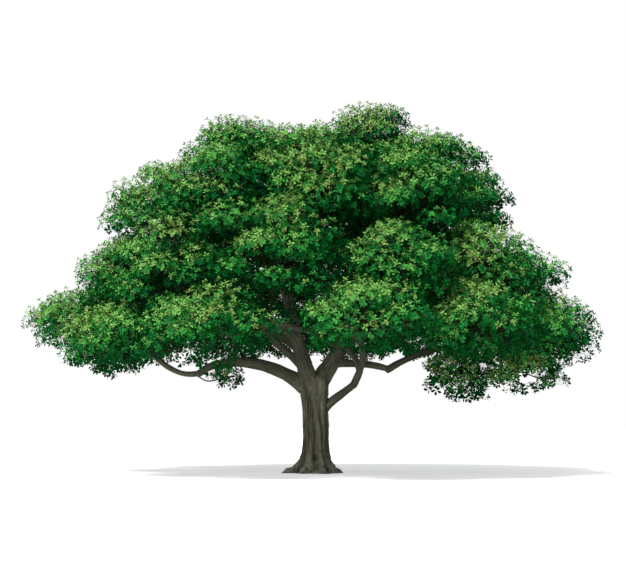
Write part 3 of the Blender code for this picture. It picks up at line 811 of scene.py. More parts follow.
def furrow_group() -> bpy.types.NodeTree:
    """A shader group: the furrows of bark, long in the direction of growth, as a height and a mask."""
    tree = bpy.data.node_groups.new("furrows", "ShaderNodeTree")
    sockets(
        tree,
        {
            "Run": ("NodeSocketVector", None),
            "Plates": ("NodeSocketFloat", 14.0),
            "Wander": ("NodeSocketFloat", 0.35),
        },
        {"Height": "NodeSocketFloat", "Furrow": "NodeSocketFloat"},
    )
    source = wire(tree, "NodeGroupInput").outputs
    wander = wire(tree, "ShaderNodeTexNoise", Vector=source["Run"], Scale=5.0, Detail=3.0).outputs["Color"]
    shift = wire(tree, "ShaderNodeVectorMath", {"operation": "SCALE"}, _0=wander, Scale=source["Wander"])
    moved = wire(tree, "ShaderNodeVectorMath", {"operation": "ADD"}, _0=source["Run"], _1=shift.outputs[0])
    long = wire(tree, "ShaderNodeMapping", Vector=moved.outputs[0], Scale=(1.0, 1.0, 0.11)).outputs[0]
    plates = wire(
        tree, "ShaderNodeTexVoronoi", {"feature": "DISTANCE_TO_EDGE"}, Vector=long, Scale=source["Plates"]
    )
    walls = ramp(tree, plates.outputs[0], 0.0, 0.22)
    fibre = cloud(tree, long, 70.0, 4.0, 0.7)
    height = wire(tree, "ShaderNodeMath", {"operation": "MULTIPLY_ADD"}, _0=fibre, _1=0.35, _2=walls)
    furrow = ramp(tree, walls, 0.0, 0.7, To_Min=0.5, To_Max=0.0)
    wire(tree, "NodeGroupOutput", _0=height.outputs[0], _1=furrow)
    return tree


class Coat:
    """A material while it is made: colours in soft patches, on which a finish lays its own."""

    def __init__(
        self,
        name: str,
        mottle: bpy.types.NodeTree,
        colours: tuple[Colour, Colour, Colour],
        grades: tuple[float, float, float],
        surface: tuple[float, float],
    ) -> None:
        """Starts the material.

        Args:
            name: its name.
            mottle: the shared group of soft patches.
            colours: the main colour, the one in its patches, and that of its flecks.
            grades: how fine the patches are, how fine the flecks, and how strong the flecks.
            surface: how rough it is, and how glossy.
        """
        self.material = bpy.data.materials.new(name)
        self.material.use_nodes = True
        self.tree = self.material.node_tree
        self.shader = self.tree.nodes["Principled BSDF"]
        for key, value in zip(("Roughness", "Specular IOR Level"), surface):
            self.shader.inputs[key].default_value = value
        self.place = wire(self.tree, "ShaderNodeTexCoord").outputs["Object"]
        values = dict(zip(("Patch_Scale", "Fleck_Scale", "Fleck"), grades))
        values |= {key: (*colour, 1.0) for key, colour in zip(("Colour", "Second", "Dark"), colours)}
        patches = wire(self.tree, "ShaderNodeGroup", {"node_tree": mottle}, Place=self.place, **values)
        self.colour, self.mask = patches.outputs["Colour"], patches.outputs["Mask"]

    def attribute(self, name: str) -> bpy.types.Node:
        """The node that reads one of the piece's own attributes."""
        return wire(self.tree, "ShaderNodeAttribute", {"attribute_name": name})

    def lay(self, amount: bpy.types.NodeSocket, colour: Colour) -> None:
        """Lays a colour over what there is, by an amount from 0 to 1."""
        self.colour = laid_over(self.tree, amount, self.colour, (*colour, 1.0))

    def done(self, height: bpy.types.NodeSocket, depth: float, strength: float) -> bpy.types.Material:
        """Ends the material: its colour, and a relief of so many metres at so much strength."""
        self.tree.links.new(self.colour, self.shader.inputs["Base Color"])
        bump = wire(self.tree, "ShaderNodeBump", Height=height, Distance=depth, Strength=strength)
        self.tree.links.new(bump.outputs[0], self.shader.inputs["Normal"])
        return self.material


@dataclass(frozen=True)
class BarkFinish:
    """Old bark: grey-brown plates between dark furrows, with a green bloom on the damp sides, painted shade
    in its hollows and in the crown, and painted light at its foot.
    """

    name: str = "oak_bark"
    plate: Colour = (0.390, 0.375, 0.262)
    second: Colour = (0.255, 0.255, 0.170)
    # The furrow colour is both the bark's dark furrows and the painted shade in its hollows and up in the
    # crown.
    furrow: Colour = (0.050, 0.047, 0.034)
    bloom: Colour = (0.120, 0.140, 0.070)
    foot: Colour = (0.620, 0.590, 0.460)  # painted light: the pale colour laid in patches at the foot of the trunk
    grades: tuple = (1.3, 26.0, 0.35)
    plates: float = 11.0
    plate_wander: float = 0.10
    damp: float = 0.75  # how strong the bloom gets
    painted_foot_light: tuple = (0.95, 0.10)  # painted light at the foot: from where down the pale patches start, and where they are whole
    hollow: tuple = (-0.26, 0.42)  # the bark's height where it is wholly in shadow, and where not at all
    crown: tuple = (2.4, 4.0)  # heights between which the wood goes into the crown
    painted_crown_shade: float = 0.74  # painted shade: how much darker the wood is in there
    relief: float = 0.02
    relief_strength: float = 0.9
    surface: tuple = (0.92, 0.1)

    def material(self, mottle: bpy.types.NodeTree, furrows: bpy.types.NodeTree) -> bpy.types.Material:
        """The bark as a material.

        Args:
            mottle: the shared group of soft patches.
            furrows: the shared group of bark furrows.

        Returns:
            The material, which reads the limbs' own run of the grain.
        """
        coat = Coat(self.name, mottle, (self.plate, self.second, self.furrow), self.grades, self.surface)
        tree, place = coat.tree, coat.place
        run = coat.attribute("bark_run").outputs["Vector"]
        sizes = {"Plates": self.plates, "Wander": self.plate_wander}
        lines = wire(tree, "ShaderNodeGroup", {"node_tree": furrows}, Run=run, **sizes)
        above = wire(tree, "ShaderNodeSeparateXYZ", _0=place).outputs["Z"]
        foot_light_patches = ramp(tree, cloud(tree, place, 4.5, 3.0, 0.6), 0.36, 0.54)
        height = coat.attribute("bark_height").outputs["Fac"]
        coat.lay(ramp(tree, cloud(tree, place, 0.9, 4.0, 0.65), 0.44, 0.66, To_Max=self.damp), self.bloom)
        coat.lay(lines.outputs["Furrow"], self.furrow)
        # Painted light: pale patches low on the trunk, lightening its foot in the crown's shade.
        coat.lay(times(tree, ramp(tree, above, *self.painted_foot_light), foot_light_patches), self.foot)
        # Painted shade: the furrow colour laid where the bark is low, in its hollows.
        coat.lay(ramp(tree, height, *self.hollow, To_Min=1.0, To_Max=0.0), self.furrow)
        # Painted shade: the wood is darker where it goes up into the crown.
        coat.lay(ramp(tree, above, *self.crown, To_Max=self.painted_crown_shade), self.furrow)
        return coat.done(lines.outputs["Height"], self.relief, self.relief_strength)


@dataclass(frozen=True)
class TwigFinish:
    """The smooth young bark of twigs and branchlets."""

    name: str = "young_bark"
    bark: Colour = (0.018, 0.024, 0.010)
    second: Colour = (0.014, 0.020, 0.009)
    dark: Colour = (0.007, 0.008, 0.004)
    grades: tuple = (4.0, 60.0, 0.6)
    relief: float = 0.004
    relief_strength: float = 0.5
    surface: tuple = (0.8, 0.04)

    def material(self, mottle: bpy.types.NodeTree) -> bpy.types.Material:
        """The young bark as a material."""
        coat = Coat(self.name, mottle, (self.bark, self.second, self.dark), self.grades, self.surface)
        return coat.done(coat.mask, self.relief, self.relief_strength)


@dataclass(frozen=True)
class LeafFinish:
    """One tone of leaf: its blade, a second colour in patches, and a dark fleck."""

    name: str
    blade: Colour
    second: Colour
    surface: tuple = (0.5, 0.09)
    fleck: float = 0.55  # how bright a fleck is, by its blade
    grades: tuple = (2.2, 11.0, 0.35)
    vein_scale: float = 45.0
    relief: float = 0.006
    relief_strength: float = 0.35

    def material(self, mottle: bpy.types.NodeTree) -> bpy.types.Material:
        """The tone as a material."""
        dark = tuple(self.fleck * part for part in self.blade)
        coat = Coat(self.name, mottle, (self.blade, self.second, dark), self.grades, self.surface)
        veins = cloud(coat.tree, coat.place, self.vein_scale, 2.0)
        return coat.done(veins, self.relief, self.relief_strength)


class Tone(Enum):
    """The leaf tones: painted shade and painted light, from the shaded inside of the crown to its lit tips,
    the darker with less sheen; the autumn tints of ripe tufts, gold and russet, go to lit sprays alone.
    """

    DEEP = LeafFinish("leaf_deep", (0.001, 0.057, 0.006), (0.001, 0.048, 0.010), (0.65, 0.02))
    SHADE = LeafFinish("leaf_shade", (0.001, 0.091, 0.011), (0.001, 0.076, 0.015), (0.65, 0.04))
    GREEN = LeafFinish("leaf_green", (0.012, 0.172, 0.022), (0.008, 0.142, 0.027), (0.6, 0.06))
    FRESH = LeafFinish("leaf_fresh", (0.058, 0.270, 0.037), (0.040, 0.230, 0.040))
    LIME = LeafFinish("leaf_lime", (0.155, 0.345, 0.070), (0.125, 0.310, 0.062))
    GOLD = LeafFinish("leaf_gold", (0.145, 0.290, 0.060), (0.120, 0.270, 0.058))
    RUSSET = LeafFinish("leaf_russet", (0.178, 0.262, 0.060), (0.150, 0.262, 0.058))


# ---------------------------------------------------------------- the wood


@dataclass
class Timber:
    """The trunk and limbs, grown together at their forks and covered in ridged bark."""

    plan: Plan
    voxel: float = 0.0285
    inner_voxel: float = 0.036
    trunk_sides: int = 96
    limb_sides: int = 24
    steps: int = 8  # rings to each length of a path
    trunk_crown: tuple = (30, 50, 65, 78)  # degrees round its rounded top at which it has rings
    collar: float = 0.14  # how much a limb's foot swells, as a share of its radius
    collar_at: float = 1.6  # radii along the limb, past which it goes down
    collar_fade: float = 2.2  # radii over which it does
    sunk: float = 0.12  # how far a limb's foot goes back into its parent
    wander: float = 0.045  # how far a limb's axis strays from its plan
    lumps: float = 0.10  # how much its radius varies
    smoothing: int = 7  # rounds of it on the forks
    flutes: float = 0.050  # the trunk's long ribs
    ridges: float = 0.014  # the furrows between plates of bark
    flute_grain: tuple = (4.4, 0.22)  # how fine the noise is across the limb, and along it
    rib_grain: tuple = (9.5, 0.55)
    plate_grain: tuple = (23.0, 1.9)
    ribs: float = 0.060  # what is left of the root flares, up the trunk
    rib_width: float = 15.0  # degrees
    rib_twist: float = 6.0  # degrees to a metre of height
    rib_fade: float = 3.0  # the height by which they fade
    grooves: tuple = (  # where they run up the trunk, in degrees, and how deep they are
        (-64, 0.065),
        (-103, 0.025),
        (-150, 0.04),
        (-18, 0.04),
        (25, 0.05),
        (75, 0.05),
        (140, 0.05),
    )
    groove_width: float = 6.5  # degrees
    groove_wander: tuple = ((4.0, 2.1), (2.0, 5.3))  # degrees to and fro, and radians to a metre of height
    groove_top: float = 2.9  # where they have run out
    groove_fade: float = 1.2  # the height over which they do
    blend: float = 0.16  # how wide one limb's bark runs into the next one's
    foot_height: float = 0.10  # the height by which the bark has its full relief
    foot_relief: float = 0.2  # the share of it that is left at the ground
    limb_step: float = 11.0  # what sets the limbs' grain apart

    def trunk_shell(self) -> tuple[Array, list]:
        """The trunk's rings, from its flat cut at the ground to a rounded top under the fork."""
        heights, radii = np.array(self.plan.trunk_profile).T
        rings = [tuple(row) for row in refine(np.column_stack([heights, radii]), self.steps)]
        last_height, last_radius = rings[-1]
        for angle in self.trunk_crown:
            turn = math.radians(angle)
            height = last_height + (self.plan.trunk_top - last_height) * math.sin(turn)
            rings.append((height, last_radius * math.cos(turn) ** 0.5))
        azimuths = np.arange(self.trunk_sides) * 360 / self.trunk_sides
        around = np.column_stack([np.cos(np.radians(azimuths)), np.sin(np.radians(azimuths)), 0 * azimuths])
        points = []
        for height, radius in rings:
            out = radius + self.plan.flare_reach(azimuths, np.full(len(azimuths), height))
            points.append(self.plan.trunk_axis(height) + out[:, None] * around)
        return np.concatenate(points), ring_faces(len(rings), self.trunk_sides)

    def limb_shell(self, tube: Tube) -> tuple[Array, list]:
        """One limb's rings on its own axis, swollen at the foot, which is sunk into its parent."""
        path, radii = tube.refined(self.steps)
        run = np.concatenate([[0.0], np.cumsum(np.linalg.norm(np.diff(path, axis=0), axis=1))])
        past = (run - self.collar_at * radii[0]).clip(0) / (self.collar_fade * radii[0])
        radii = radii * (1 + self.collar * np.exp(-(past**2)))
        fade = np.sin(np.pi * np.clip(run / run[-1], 0, 1)).clip(0) ** 0.7
        key = Vector((sum(map(ord, tube.name)) * 0.37, 0.0, 0.0))
        stray = np.array([noise.noise_vector(key + Vector((0.0, 0.0, s * 1.1))) for s in run])
        path = path + self.wander * (fade * np.minimum(1, radii / 0.15))[:, None] * stray
        lumps = np.array([noise.noise(key + Vector((5.0, 0.0, s * 2.3))) for s in run])
        radii = radii * (1 + self.lumps * fade * lumps)
        back = unit(path[0] - path[1])
        path = np.vstack([path[0] + self.sunk * back, path])
        radii = np.concatenate([[0.9 * radii[0]], radii])
        return tube_rings(path, radii, self.limb_sides), ring_faces(len(path), self.limb_sides)

    def shell(self, name: str, limbs: tuple[Limb, ...], voxel: float, with_trunk: bool) -> bpy.types.Object:
        """The limbs grown together as one closed surface.

        Args:
            name: the piece's name.
            limbs: the limbs in it.
            voxel: how fine the surface is.
            with_trunk: whether the trunk is in it.

        Returns:
            The object.
        """
        shells = [self.trunk_shell()] if with_trunk else []
        shells += [self.limb_shell(self.plan.tubes[limb.name]) for limb in limbs]
        points, faces, before = [], [], 0
        for part_points, part_faces in shells:
            points.append(part_points)
            faces += [tuple(before + corner for corner in face) for face in part_faces]
            before += len(part_points)
        made = mesh_object(name, np.concatenate(points), faces)
        join = made.modifiers.new("grow_together", "REMESH")
        join.mode = "VOXEL"
        join.voxel_size = voxel
        ease = made.modifiers.new("ease_forks", "SMOOTH")
        ease.iterations = self.smoothing
        ease.factor = 0.5
        settle(made)
        return made

    def relief(self, tube: Array, radius: Array, place: Array) -> Array:
        """The height of the bark on a limb.

        Args:
            tube: the limb's number, 0 for the trunk.
            radius: its radius there.
            place: the point in the limb's own axes.

        Returns:
            How far each point stands out.
        """
        heights = np.zeros(len(place))
        flute = self.flutes * np.minimum(1, (radius / 0.42)) ** 1.3
        ridge = self.ridges * np.minimum(1, (radius / 0.30)) ** 0.8
        wide, tall = self.flute_grain
        rib_wide, rib_tall = self.rib_grain
        plate_wide, plate_tall = self.plate_grain
        for i, (which, (x, y, z)) in enumerate(zip(tube.tolist(), place.tolist())):
            shift = 3.1 * which
            long = noise.noise(Vector((x * wide + shift, y * wide, z * tall)))
            rib = 1 - 2.4 * abs(noise.noise(Vector((x * rib_wide, y * rib_wide + shift, z * rib_tall))))
            flake = Vector((x * plate_wide + shift, y * plate_wide, z * plate_tall))
            plate = 1 - 2.6 * abs(noise.noise(flake))
            heights[i] = flute[i] * (1.1 * long + 0.45 * rib) + ridge[i] * plate
        return heights

    def rib_height(self, points: Array) -> Array:
        """How far the trunk's ribs stand out at points as they run up from the flares, less its grooves."""
        lean = self.plan.trunk_shift_at_top * (points[:, 2] / self.plan.trunk_top).clip(0, 1) ** 3
        azimuth = np.degrees(np.arctan2(points[:, 1], points[:, 0] - lean))
        crests = np.zeros(len(points))
        for crest, _ in self.plan.root_flares:
            off = (azimuth - crest - self.rib_twist * points[:, 2] + 180) % 360 - 180
            crests += np.exp(-((off / self.rib_width) ** 2))
        ribs = self.ribs * (crests - 0.5) * np.exp(-points[:, 2] / self.rib_fade)
        wander = sum(swing * np.sin(pace * points[:, 2]) for swing, pace in self.groove_wander)
        fade = np.clip((self.groove_top - points[:, 2]) / self.groove_fade, 0, 1)
        for middle, deep in self.grooves:
            off = (azimuth - middle - wander + 180) % 360 - 180
            ribs -= deep * np.exp(-((off / self.groove_width) ** 2)) * fade
        return ribs

    def bark(self, made: bpy.types.Object, grain: Grain) -> None:
        """Raises the bark on a shell, and stores the run of its grain for the finish."""
        mesh = made.data
        co = np.zeros(len(mesh.vertices) * 3, np.float32)
        mesh.vertices.foreach_get("co", co)
        co = co.reshape(-1, 3)
        normals = np.zeros(len(mesh.vertices) * 3, np.float32)
        mesh.vertices.foreach_get("normal", normals)
        (one, gap, radius, place), (two, next_gap, next_radius, next_place) = grain.lie_of(co)
        share = np.clip((next_gap - gap) / self.blend, 0, 1)
        share = 0.5 + 0.5 * share * share * (3 - 2 * share)
        height = share * self.relief(one, radius, place)
        height += (1 - share) * self.relief(two, next_radius, next_place)
        height += np.where(one == 0, share, 0) * self.rib_height(co)
        height *= np.clip(co[:, 2] / self.foot_height, 0, 1) * (1 - self.foot_relief) + self.foot_relief
        co = co + height[:, None] * normals.reshape(-1, 3)
        co[:, 2] = np.maximum(co[:, 2], 0.0)
        mesh.vertices.foreach_set("co", co.ravel())
        place[:, 2] += self.limb_step * one
        put_values(mesh, "bark_run", "FLOAT_VECTOR", place)
        put_values(mesh, "bark_height", "FLOAT", height / (0.25 * radius + 0.02))
        mesh.shade_smooth()
        mesh.update()

    def build(self, finish: bpy.types.Material) -> list[bpy.types.Object]:
        """Makes the pieces of wood and dresses them in bark.

        Args:
            finish: the bark.

        Returns:
            The trunk with the limbs that show, and the limbs inside the crown.
        """
        pieces = []
        for name, limbs, voxel, with_trunk in (
            ("trunk_and_boughs", OUTER_LIMBS, self.voxel, True),
            ("inner_limbs", INNER_LIMBS, self.inner_voxel, False),
        ):
            made = self.shell(name, limbs, voxel, with_trunk)
            nodes = [limb.name for limb in limbs]
            tubes = [self.plan.tubes[node] for node in nodes]
            if with_trunk:
                tubes = [self.plan.tubes["trunk"], *tubes]
                nodes.append("trunk")
            self.bark(made, Grain(tubes))
            made.data.materials.append(finish)
            own(made, "bark", nodes)
            pieces.append(made)
        return pieces


def ring_faces(rings: int, sides: int) -> list[tuple[int, ...]]:
    """The faces of a closed tube of rings of points, with a flat cap at each end."""
    faces = [tuple(range(sides))[::-1], tuple(range((rings - 1) * sides, rings * sides))]
    for ring in range(rings - 1):
        for side in range(sides):
            a, b = ring * sides + side, ring * sides + (side + 1) % sides
            faces.append((a, b, b + sides, a + sides))
    return faces


def tube_rings(path: Array, radii: Array, sides: int) -> Array:
    """Rings of points square to a path, kept from twisting."""
    across, _ = side_axes(unit(path[1] - path[0]))
    angles = np.arange(sides) * 2 * math.pi / sides
    points = []
    for i, (middle, radius) in enumerate(zip(path, radii)):
        ahead = unit(path[min(i + 1, len(path) - 1)] - path[max(i - 1, 0)])
        across = unit(across - (across @ ahead) * ahead)
        up = np.cross(ahead, across)
        points.append(middle + radius * (np.cos(angles)[:, None] * across + np.sin(angles)[:, None] * up))
    return np.concatenate(points)


# ---------------------------------------------------------------- the foliage


@dataclass
class Lines:
    """Tapering lines that are given a skin together."""

    points: list = field(default_factory=list)
    girths: list = field(default_factory=list)
    edges: list = field(default_factory=list)

    def add(self, path: Array, girths: Array) -> None:
        """Adds a line."""
        first = len(self.points)
        self.points += list(path)
        self.girths += list(girths)
        self.edges += [(first + i, first + i + 1) for i in range(len(path) - 1)]

    def skinned(self, name: str, work: NodeWork, sides: int, finish: bpy.types.Material) -> bpy.types.Object:
        """The lines as one piece of closed tubes.

        Args:
            name: the piece's name.
            work: the skin's node tree.
            sides: how many sides a tube has.
            finish: its material.

        Returns:
            The piece.
        """
        made = mesh_object(name, np.array(self.points), [], self.edges)
        put_values(made.data, "girth", "FLOAT", np.array(self.girths))
        work.run(made, Sides=sides, Finish=finish)
        return made


@dataclass
class SprayForms:
    """The few forms that a spray of leaves takes: leaves in a rosette round the end of a shoot."""

    name: str = "spray_form"
    leaf_counts: tuple[int, ...] = (6, 6, 7, 6, 6)
    leaf_length: float = 0.128
    lobes: tuple = ((0.34, 0.185), (0.72, 0.250))  # along and out, as shares of the length
    fold: float = 0.10  # how far a leaf's edges stand above its midrib
    curl: float = 0.12  # how far its tip bends back
    stalk: float = 0.015
    leaf_turn: float = 2.4  # radians from one leaf to the next
    splay: tuple = (86, 56)  # degrees from the axis at the outer leaf, and how many less at the last

    def leaf(self, root: Array, along: Array, facing: Array, length: float) -> tuple[list, list]:
        """A leaf folded on its midrib and widest past its middle, in two triangles to a lobe.

        Args:
            root: where it starts.
            along: the direction of its midrib.
            facing: the side that its face is on.
            length: its length.

        Returns:
            Its points and its faces.
        """
        across = unit(np.cross(facing, along))
        facing = np.cross(along, across)
        tip = root + length * (along - self.curl * facing)
        points, faces = [root, tip], []
        for side in (1, -1):
            edge = []
            for run, out in self.lobes:
                lift = self.fold * out / 0.3 - self.curl * run * run
                edge.append(len(points))
                points.append(root + length * (run * along + side * out * across + lift * facing))
            turn = [(0, one, two) for one, two in zip(edge, [*edge[1:], 1])]
            faces += turn if side < 0 else [face[::-1] for face in turn]
        return points, faces

    def rosette(self, count: int, chance: random.Random) -> tuple[Array, list]:
        """Leaves round the +Z axis: the outer ones splayed wide, the last ones nearly upright."""
        points, faces = [], []
        for k in range(count):
            angle = self.leaf_turn * k + chance.uniform(-0.25, 0.25)
            side = np.array([math.cos(angle), math.sin(angle), 0.0])
            splay = math.radians(self.splay[0] - self.splay[1] * k / count + chance.uniform(-10, 10))
            along = math.cos(splay) * UP + math.sin(splay) * side
            facing = math.sin(splay) * UP - math.cos(splay) * side
            length = self.leaf_length * chance.uniform(0.85, 1.12)
            root = self.stalk * along + 0.03 * (k / count) * UP
            more_points, more_faces = self.leaf(root, along, facing, length)
            faces += [tuple(len(points) + corner for corner in face) for face in more_faces]
            points += more_points
        return np.array(points), faces

    def collection(self) -> bpy.types.Collection:
        """The forms as objects in a collection that the scene does not show."""
        group = bpy.data.collections.new(self.name)
        chance = random.Random(SEED)
        for number, count in enumerate(self.leaf_counts):
            points, faces = self.rosette(count, chance)
            mesh = bpy.data.meshes.new(f"{self.name}_{number}")
            mesh.from_pydata(points.tolist(), [], faces)
            group.objects.link(bpy.data.objects.new(mesh.name, mesh))
        return group

    def clear(self, group: bpy.types.Collection) -> None:
        """Removes the forms once every spray is made."""
        for made in list(group.objects):
            mesh = made.data
            bpy.data.objects.remove(made)
            bpy.data.meshes.remove(mesh)
        bpy.data.collections.remove(group)


@dataclass
class Tuft:
    """A flattened dome of twigs in a mass of foliage."""

    mass: Mass
    centre: Array
    radius: float  # level; upward it is flatter
    outward: Array  # from the middle of its mass
    seed: int
    bareness: float = 0.0  # 0 outside the crown, towards 1 inside it


@dataclass
class Foliage:
    """The crown: branchlets, twigs and sprays of leaves that grow on from the stem of each mass."""

    plan: Plan
    tuft_lines: int = 15  # lines spread over a mass, each with a tuft where it has room
    usual_size: float = 1.7  # of a mass; a smaller one has fewer tufts
    least_room: float = 0.60  # for a tuft, as a share of its mass's size
    tuft_radius: float = 0.92
    tuft_flatness: float = 0.62
    tuft_spread: float = 0.28  # how much tufts differ in size
    tuft_stray: float = 0.12  # how far a tuft may be from its line
    inner_shares: tuple = ((0.70, 1.0), (0.95, 0.2), (1.25, -0.2), (1.6, -0.4))  # of a mass's size, and where
    inner_depth: float = 0.80  # of the crown's reach on that side, within which any place is inner
    inner_floor: float = 5.0  # no inner tuft is lower
    inner_radius: float = 0.95
    inner_turns: int = 64  # directions in which places inside are looked for
    widest_gap: float = 1.16  # from a place inside to the nearest tuft
    middle: tuple = (0.0, 0.0, 5.0)  # of the crown, from which depth is measured
    depth_stand: tuple = (1.0, 1.0, 1.3)  # how much each direction counts in it
    same_side: float = 17.0  # degrees within which tufts are on the same side
    bare_from: float = 0.83  # the depth at which the inside starts
    bare_over: float = 0.35  # and over which it grows barer
    bare_loss: float = 0.50  # the share of twigs lost where it is barest
    twigs_to_a_tuft: int = 62
    twig_reach: tuple = (0.88, 1.03)  # of a tuft's radius
    lowest_twig: float = -0.42  # how far down a twig may point
    inmost_twig: float = -0.50  # and how far back into its mass
    spray_places: tuple = (0.62, 0.83, 1.0)  # shares of a twig's length
    spray_offset: float = 0.11  # how far beside the twig the side sprays stand
    spray_sizes: tuple = (0.78, 1.04)
    bare_growth: float = 0.3  # how much larger sprays are where it is barest
    airy: tuple = (  # the share of twigs that open masses keep
        ("hanging_far", 0.80),
        ("hanging_east", 0.62),
        ("hanging_west", 0.50),
        ("bough", 0.45),
    )
    light: tuple = (0.72, 0.38, 0.5, 0.38, 0.20)  # painted light and shade on a spray, by its side, tuft, place, bareness and patch
    hanging_painted_light: float = 0.22  # painted light: how much lighter the tones of the open masses that hang low are
    shade_below: float = 0.02  # the painted light below which sprays are fewer and larger
    shade_kept: float = 0.55
    shade_growth: float = 1.28
    tone_blur: float = 0.09  # how far chance shifts the painted light that a tone is dealt by
    tone_steps: tuple = (0.27, 0.49, 0.73, 0.91)  # shares of the sprays up to each green tone's end
    gold_light: float = 0.46  # the painted light above which a spray may be gold: the autumn tints go to lit sprays alone
    gold_ripe: float = 0.68  # how ripe its tuft is then, at the least
    gold_blur: float = 0.22  # how far chance shifts that
    russet_share: float = 0.30  # of the gold ones
    corner: float = 1.30  # how far past its own size a mass fills a corner between its neighbours
    branchlet_feet: tuple = (0.62, 1.0)  # shares of a stem's length between which branchlets leave it
    branchlet_radii: tuple = (0.036, 0.014)
    branchlet_rings: int = 6
    twig_feet: tuple = (0.62, 1.0)  # shares of a branchlet's length between which twigs leave it
    twig_radii: tuple = (0.009, 0.004)
    limb_room: float = 0.07  # how near to a limb's bark a spray may be
    leaves_most: int = 198_000  # triangles to a piece
    branchlets: Lines = field(default_factory=Lines)
    twigs: tuple = field(default_factory=lambda: (Lines(), Lines()))  # on the east side, on the west
    sprays: list = field(default_factory=list)

    def grow(self) -> None:
        """Grows every mass in turn: its stem, then the tufts that it has room for."""
        stems = {}
        tufts = []
        for mass in self.plan.masses:
            path, girths = mass.stem.refined(4)
            stems[mass.name] = path
            back = path[0] - 0.1 * unit(path[1] - path[0])
            self.branchlets.add(np.vstack([back, path]), [girths[0], *girths])
            tufts += self.tufts(mass)
        tufts += self.inner_tufts(tufts)
        self.find_bareness(tufts)
        for tuft in tufts:
            self.grow_tuft(tuft, stems[tuft.mass.name])
        log.info("%d tufts", len(tufts))

    def tufts(self, mass: Mass) -> list[Tuft]:
        """Where a mass's tufts are: each on a line of its own, as far out as its own space lets it."""
        chance = random.Random(mass.seed)
        walls = self.plan.walls(mass)
        small = min(1.0, float(np.mean(mass.size)) / self.usual_size)
        lines = max(6, round(self.tuft_lines * small))
        made = []
        for direction in spread_directions(lines, chance.uniform(0, ROUND)):
            outer = mass.place(direction, 1.0) - mass.centre
            reach = float(np.linalg.norm(outer))
            line = outer / reach
            room = reach_in_walls(mass.centre, line, self.corner * reach, walls)
            room = reach if room == self.corner * reach else room
            swell = chance.uniform(1 - self.tuft_spread, 1 + self.tuft_spread)
            radius = self.tuft_radius * small**0.7 * swell
            if room < self.least_room * reach:
                continue
            depth = radius / math.hypot(math.hypot(line[0], line[1]), line[2] / self.tuft_flatness)
            centre = mass.centre + line * max(0.15 * reach, room - 0.92 * depth)
            centre = centre + [chance.uniform(-self.tuft_stray, self.tuft_stray) for _ in range(3)]
            made.append(Tuft(mass, centre, radius, unit(centre - mass.centre), mass.seed + len(made)))
        return made

    def inner_tufts(self, tufts: list[Tuft]) -> list[Tuft]:
        """More tufts inside the crown and on the masses' inner side: the widest gaps first.

        Args:
            tufts: the tufts that there are.

        Returns:
            Those that are added.
        """
        stand = np.array([1.0, 1.0, 1 / self.tuft_flatness])
        centres = np.array([tuft.centre for tuft in tufts])
        masses = [mass for mass in self.plan.masses if not mass.name.startswith(("hanging", "bough"))]
        places, owners = [], []
        for number, mass in enumerate(masses):
            normals, offsets = self.plan.walls(mass)
            outward = unit(mass.centre - np.array(self.middle))
            for share, most in self.inner_shares:
                lines = spread_directions(self.inner_turns, share)
                points = np.array([mass.place(line, share) for line in lines])
                out = points - mass.centre
                kept = out @ outward < most * np.linalg.norm(out, axis=1)
                kept |= self.depths(points, centres) < self.inner_depth
                kept &= (points[:, 2] > self.inner_floor) & (points @ normals.T < offsets).all(axis=1)
                places.append(points[kept])
                owners += [number] * int(kept.sum())
        places = np.concatenate(places)
        room = np.array([np.linalg.norm((centres - place) * stand, axis=1).min() for place in places])
        made = []
        while room.max() > self.widest_gap:
            at = int(room.argmax())
            mass = masses[owners[at]]
            outward = unit(places[at] - mass.centre)
            made.append(Tuft(mass, places[at], self.inner_radius, outward, mass.seed + 50 + len(made)))
            room = np.minimum(room, np.linalg.norm((places - places[at]) * stand, axis=1))
        log.info("%d inner tufts", len(made))
        return made

    def depths(self, points: Array, centres: Array) -> Array:
        """How far out points are in the crown.

        Args:
            points: the points, one to a row.
            centres: the tufts' places.

        Returns:
            For each point, its distance from the middle as a share of the tufts' reach on its side.
        """
        spots, ends = (points - self.middle) * self.depth_stand, (centres - self.middle) * self.depth_stand
        far, reach = np.linalg.norm(spots, axis=1), np.linalg.norm(ends, axis=1)
        near = (spots @ ends.T) / far[:, None] / reach > math.cos(math.radians(self.same_side))
        return far / np.where(near, reach, 0.01).max(axis=1)

    def find_bareness(self, tufts: list[Tuft]) -> None:
        """Finds how deep inside the crown each tuft is, from the tufts beyond it on the same side."""
        centres = np.array([tuft.centre for tuft in tufts])
        for tuft, share in zip(tufts, self.depths(centres, centres)):
            tuft.bareness = float(np.clip((self.bare_from - share) / self.bare_over, 0, 1))

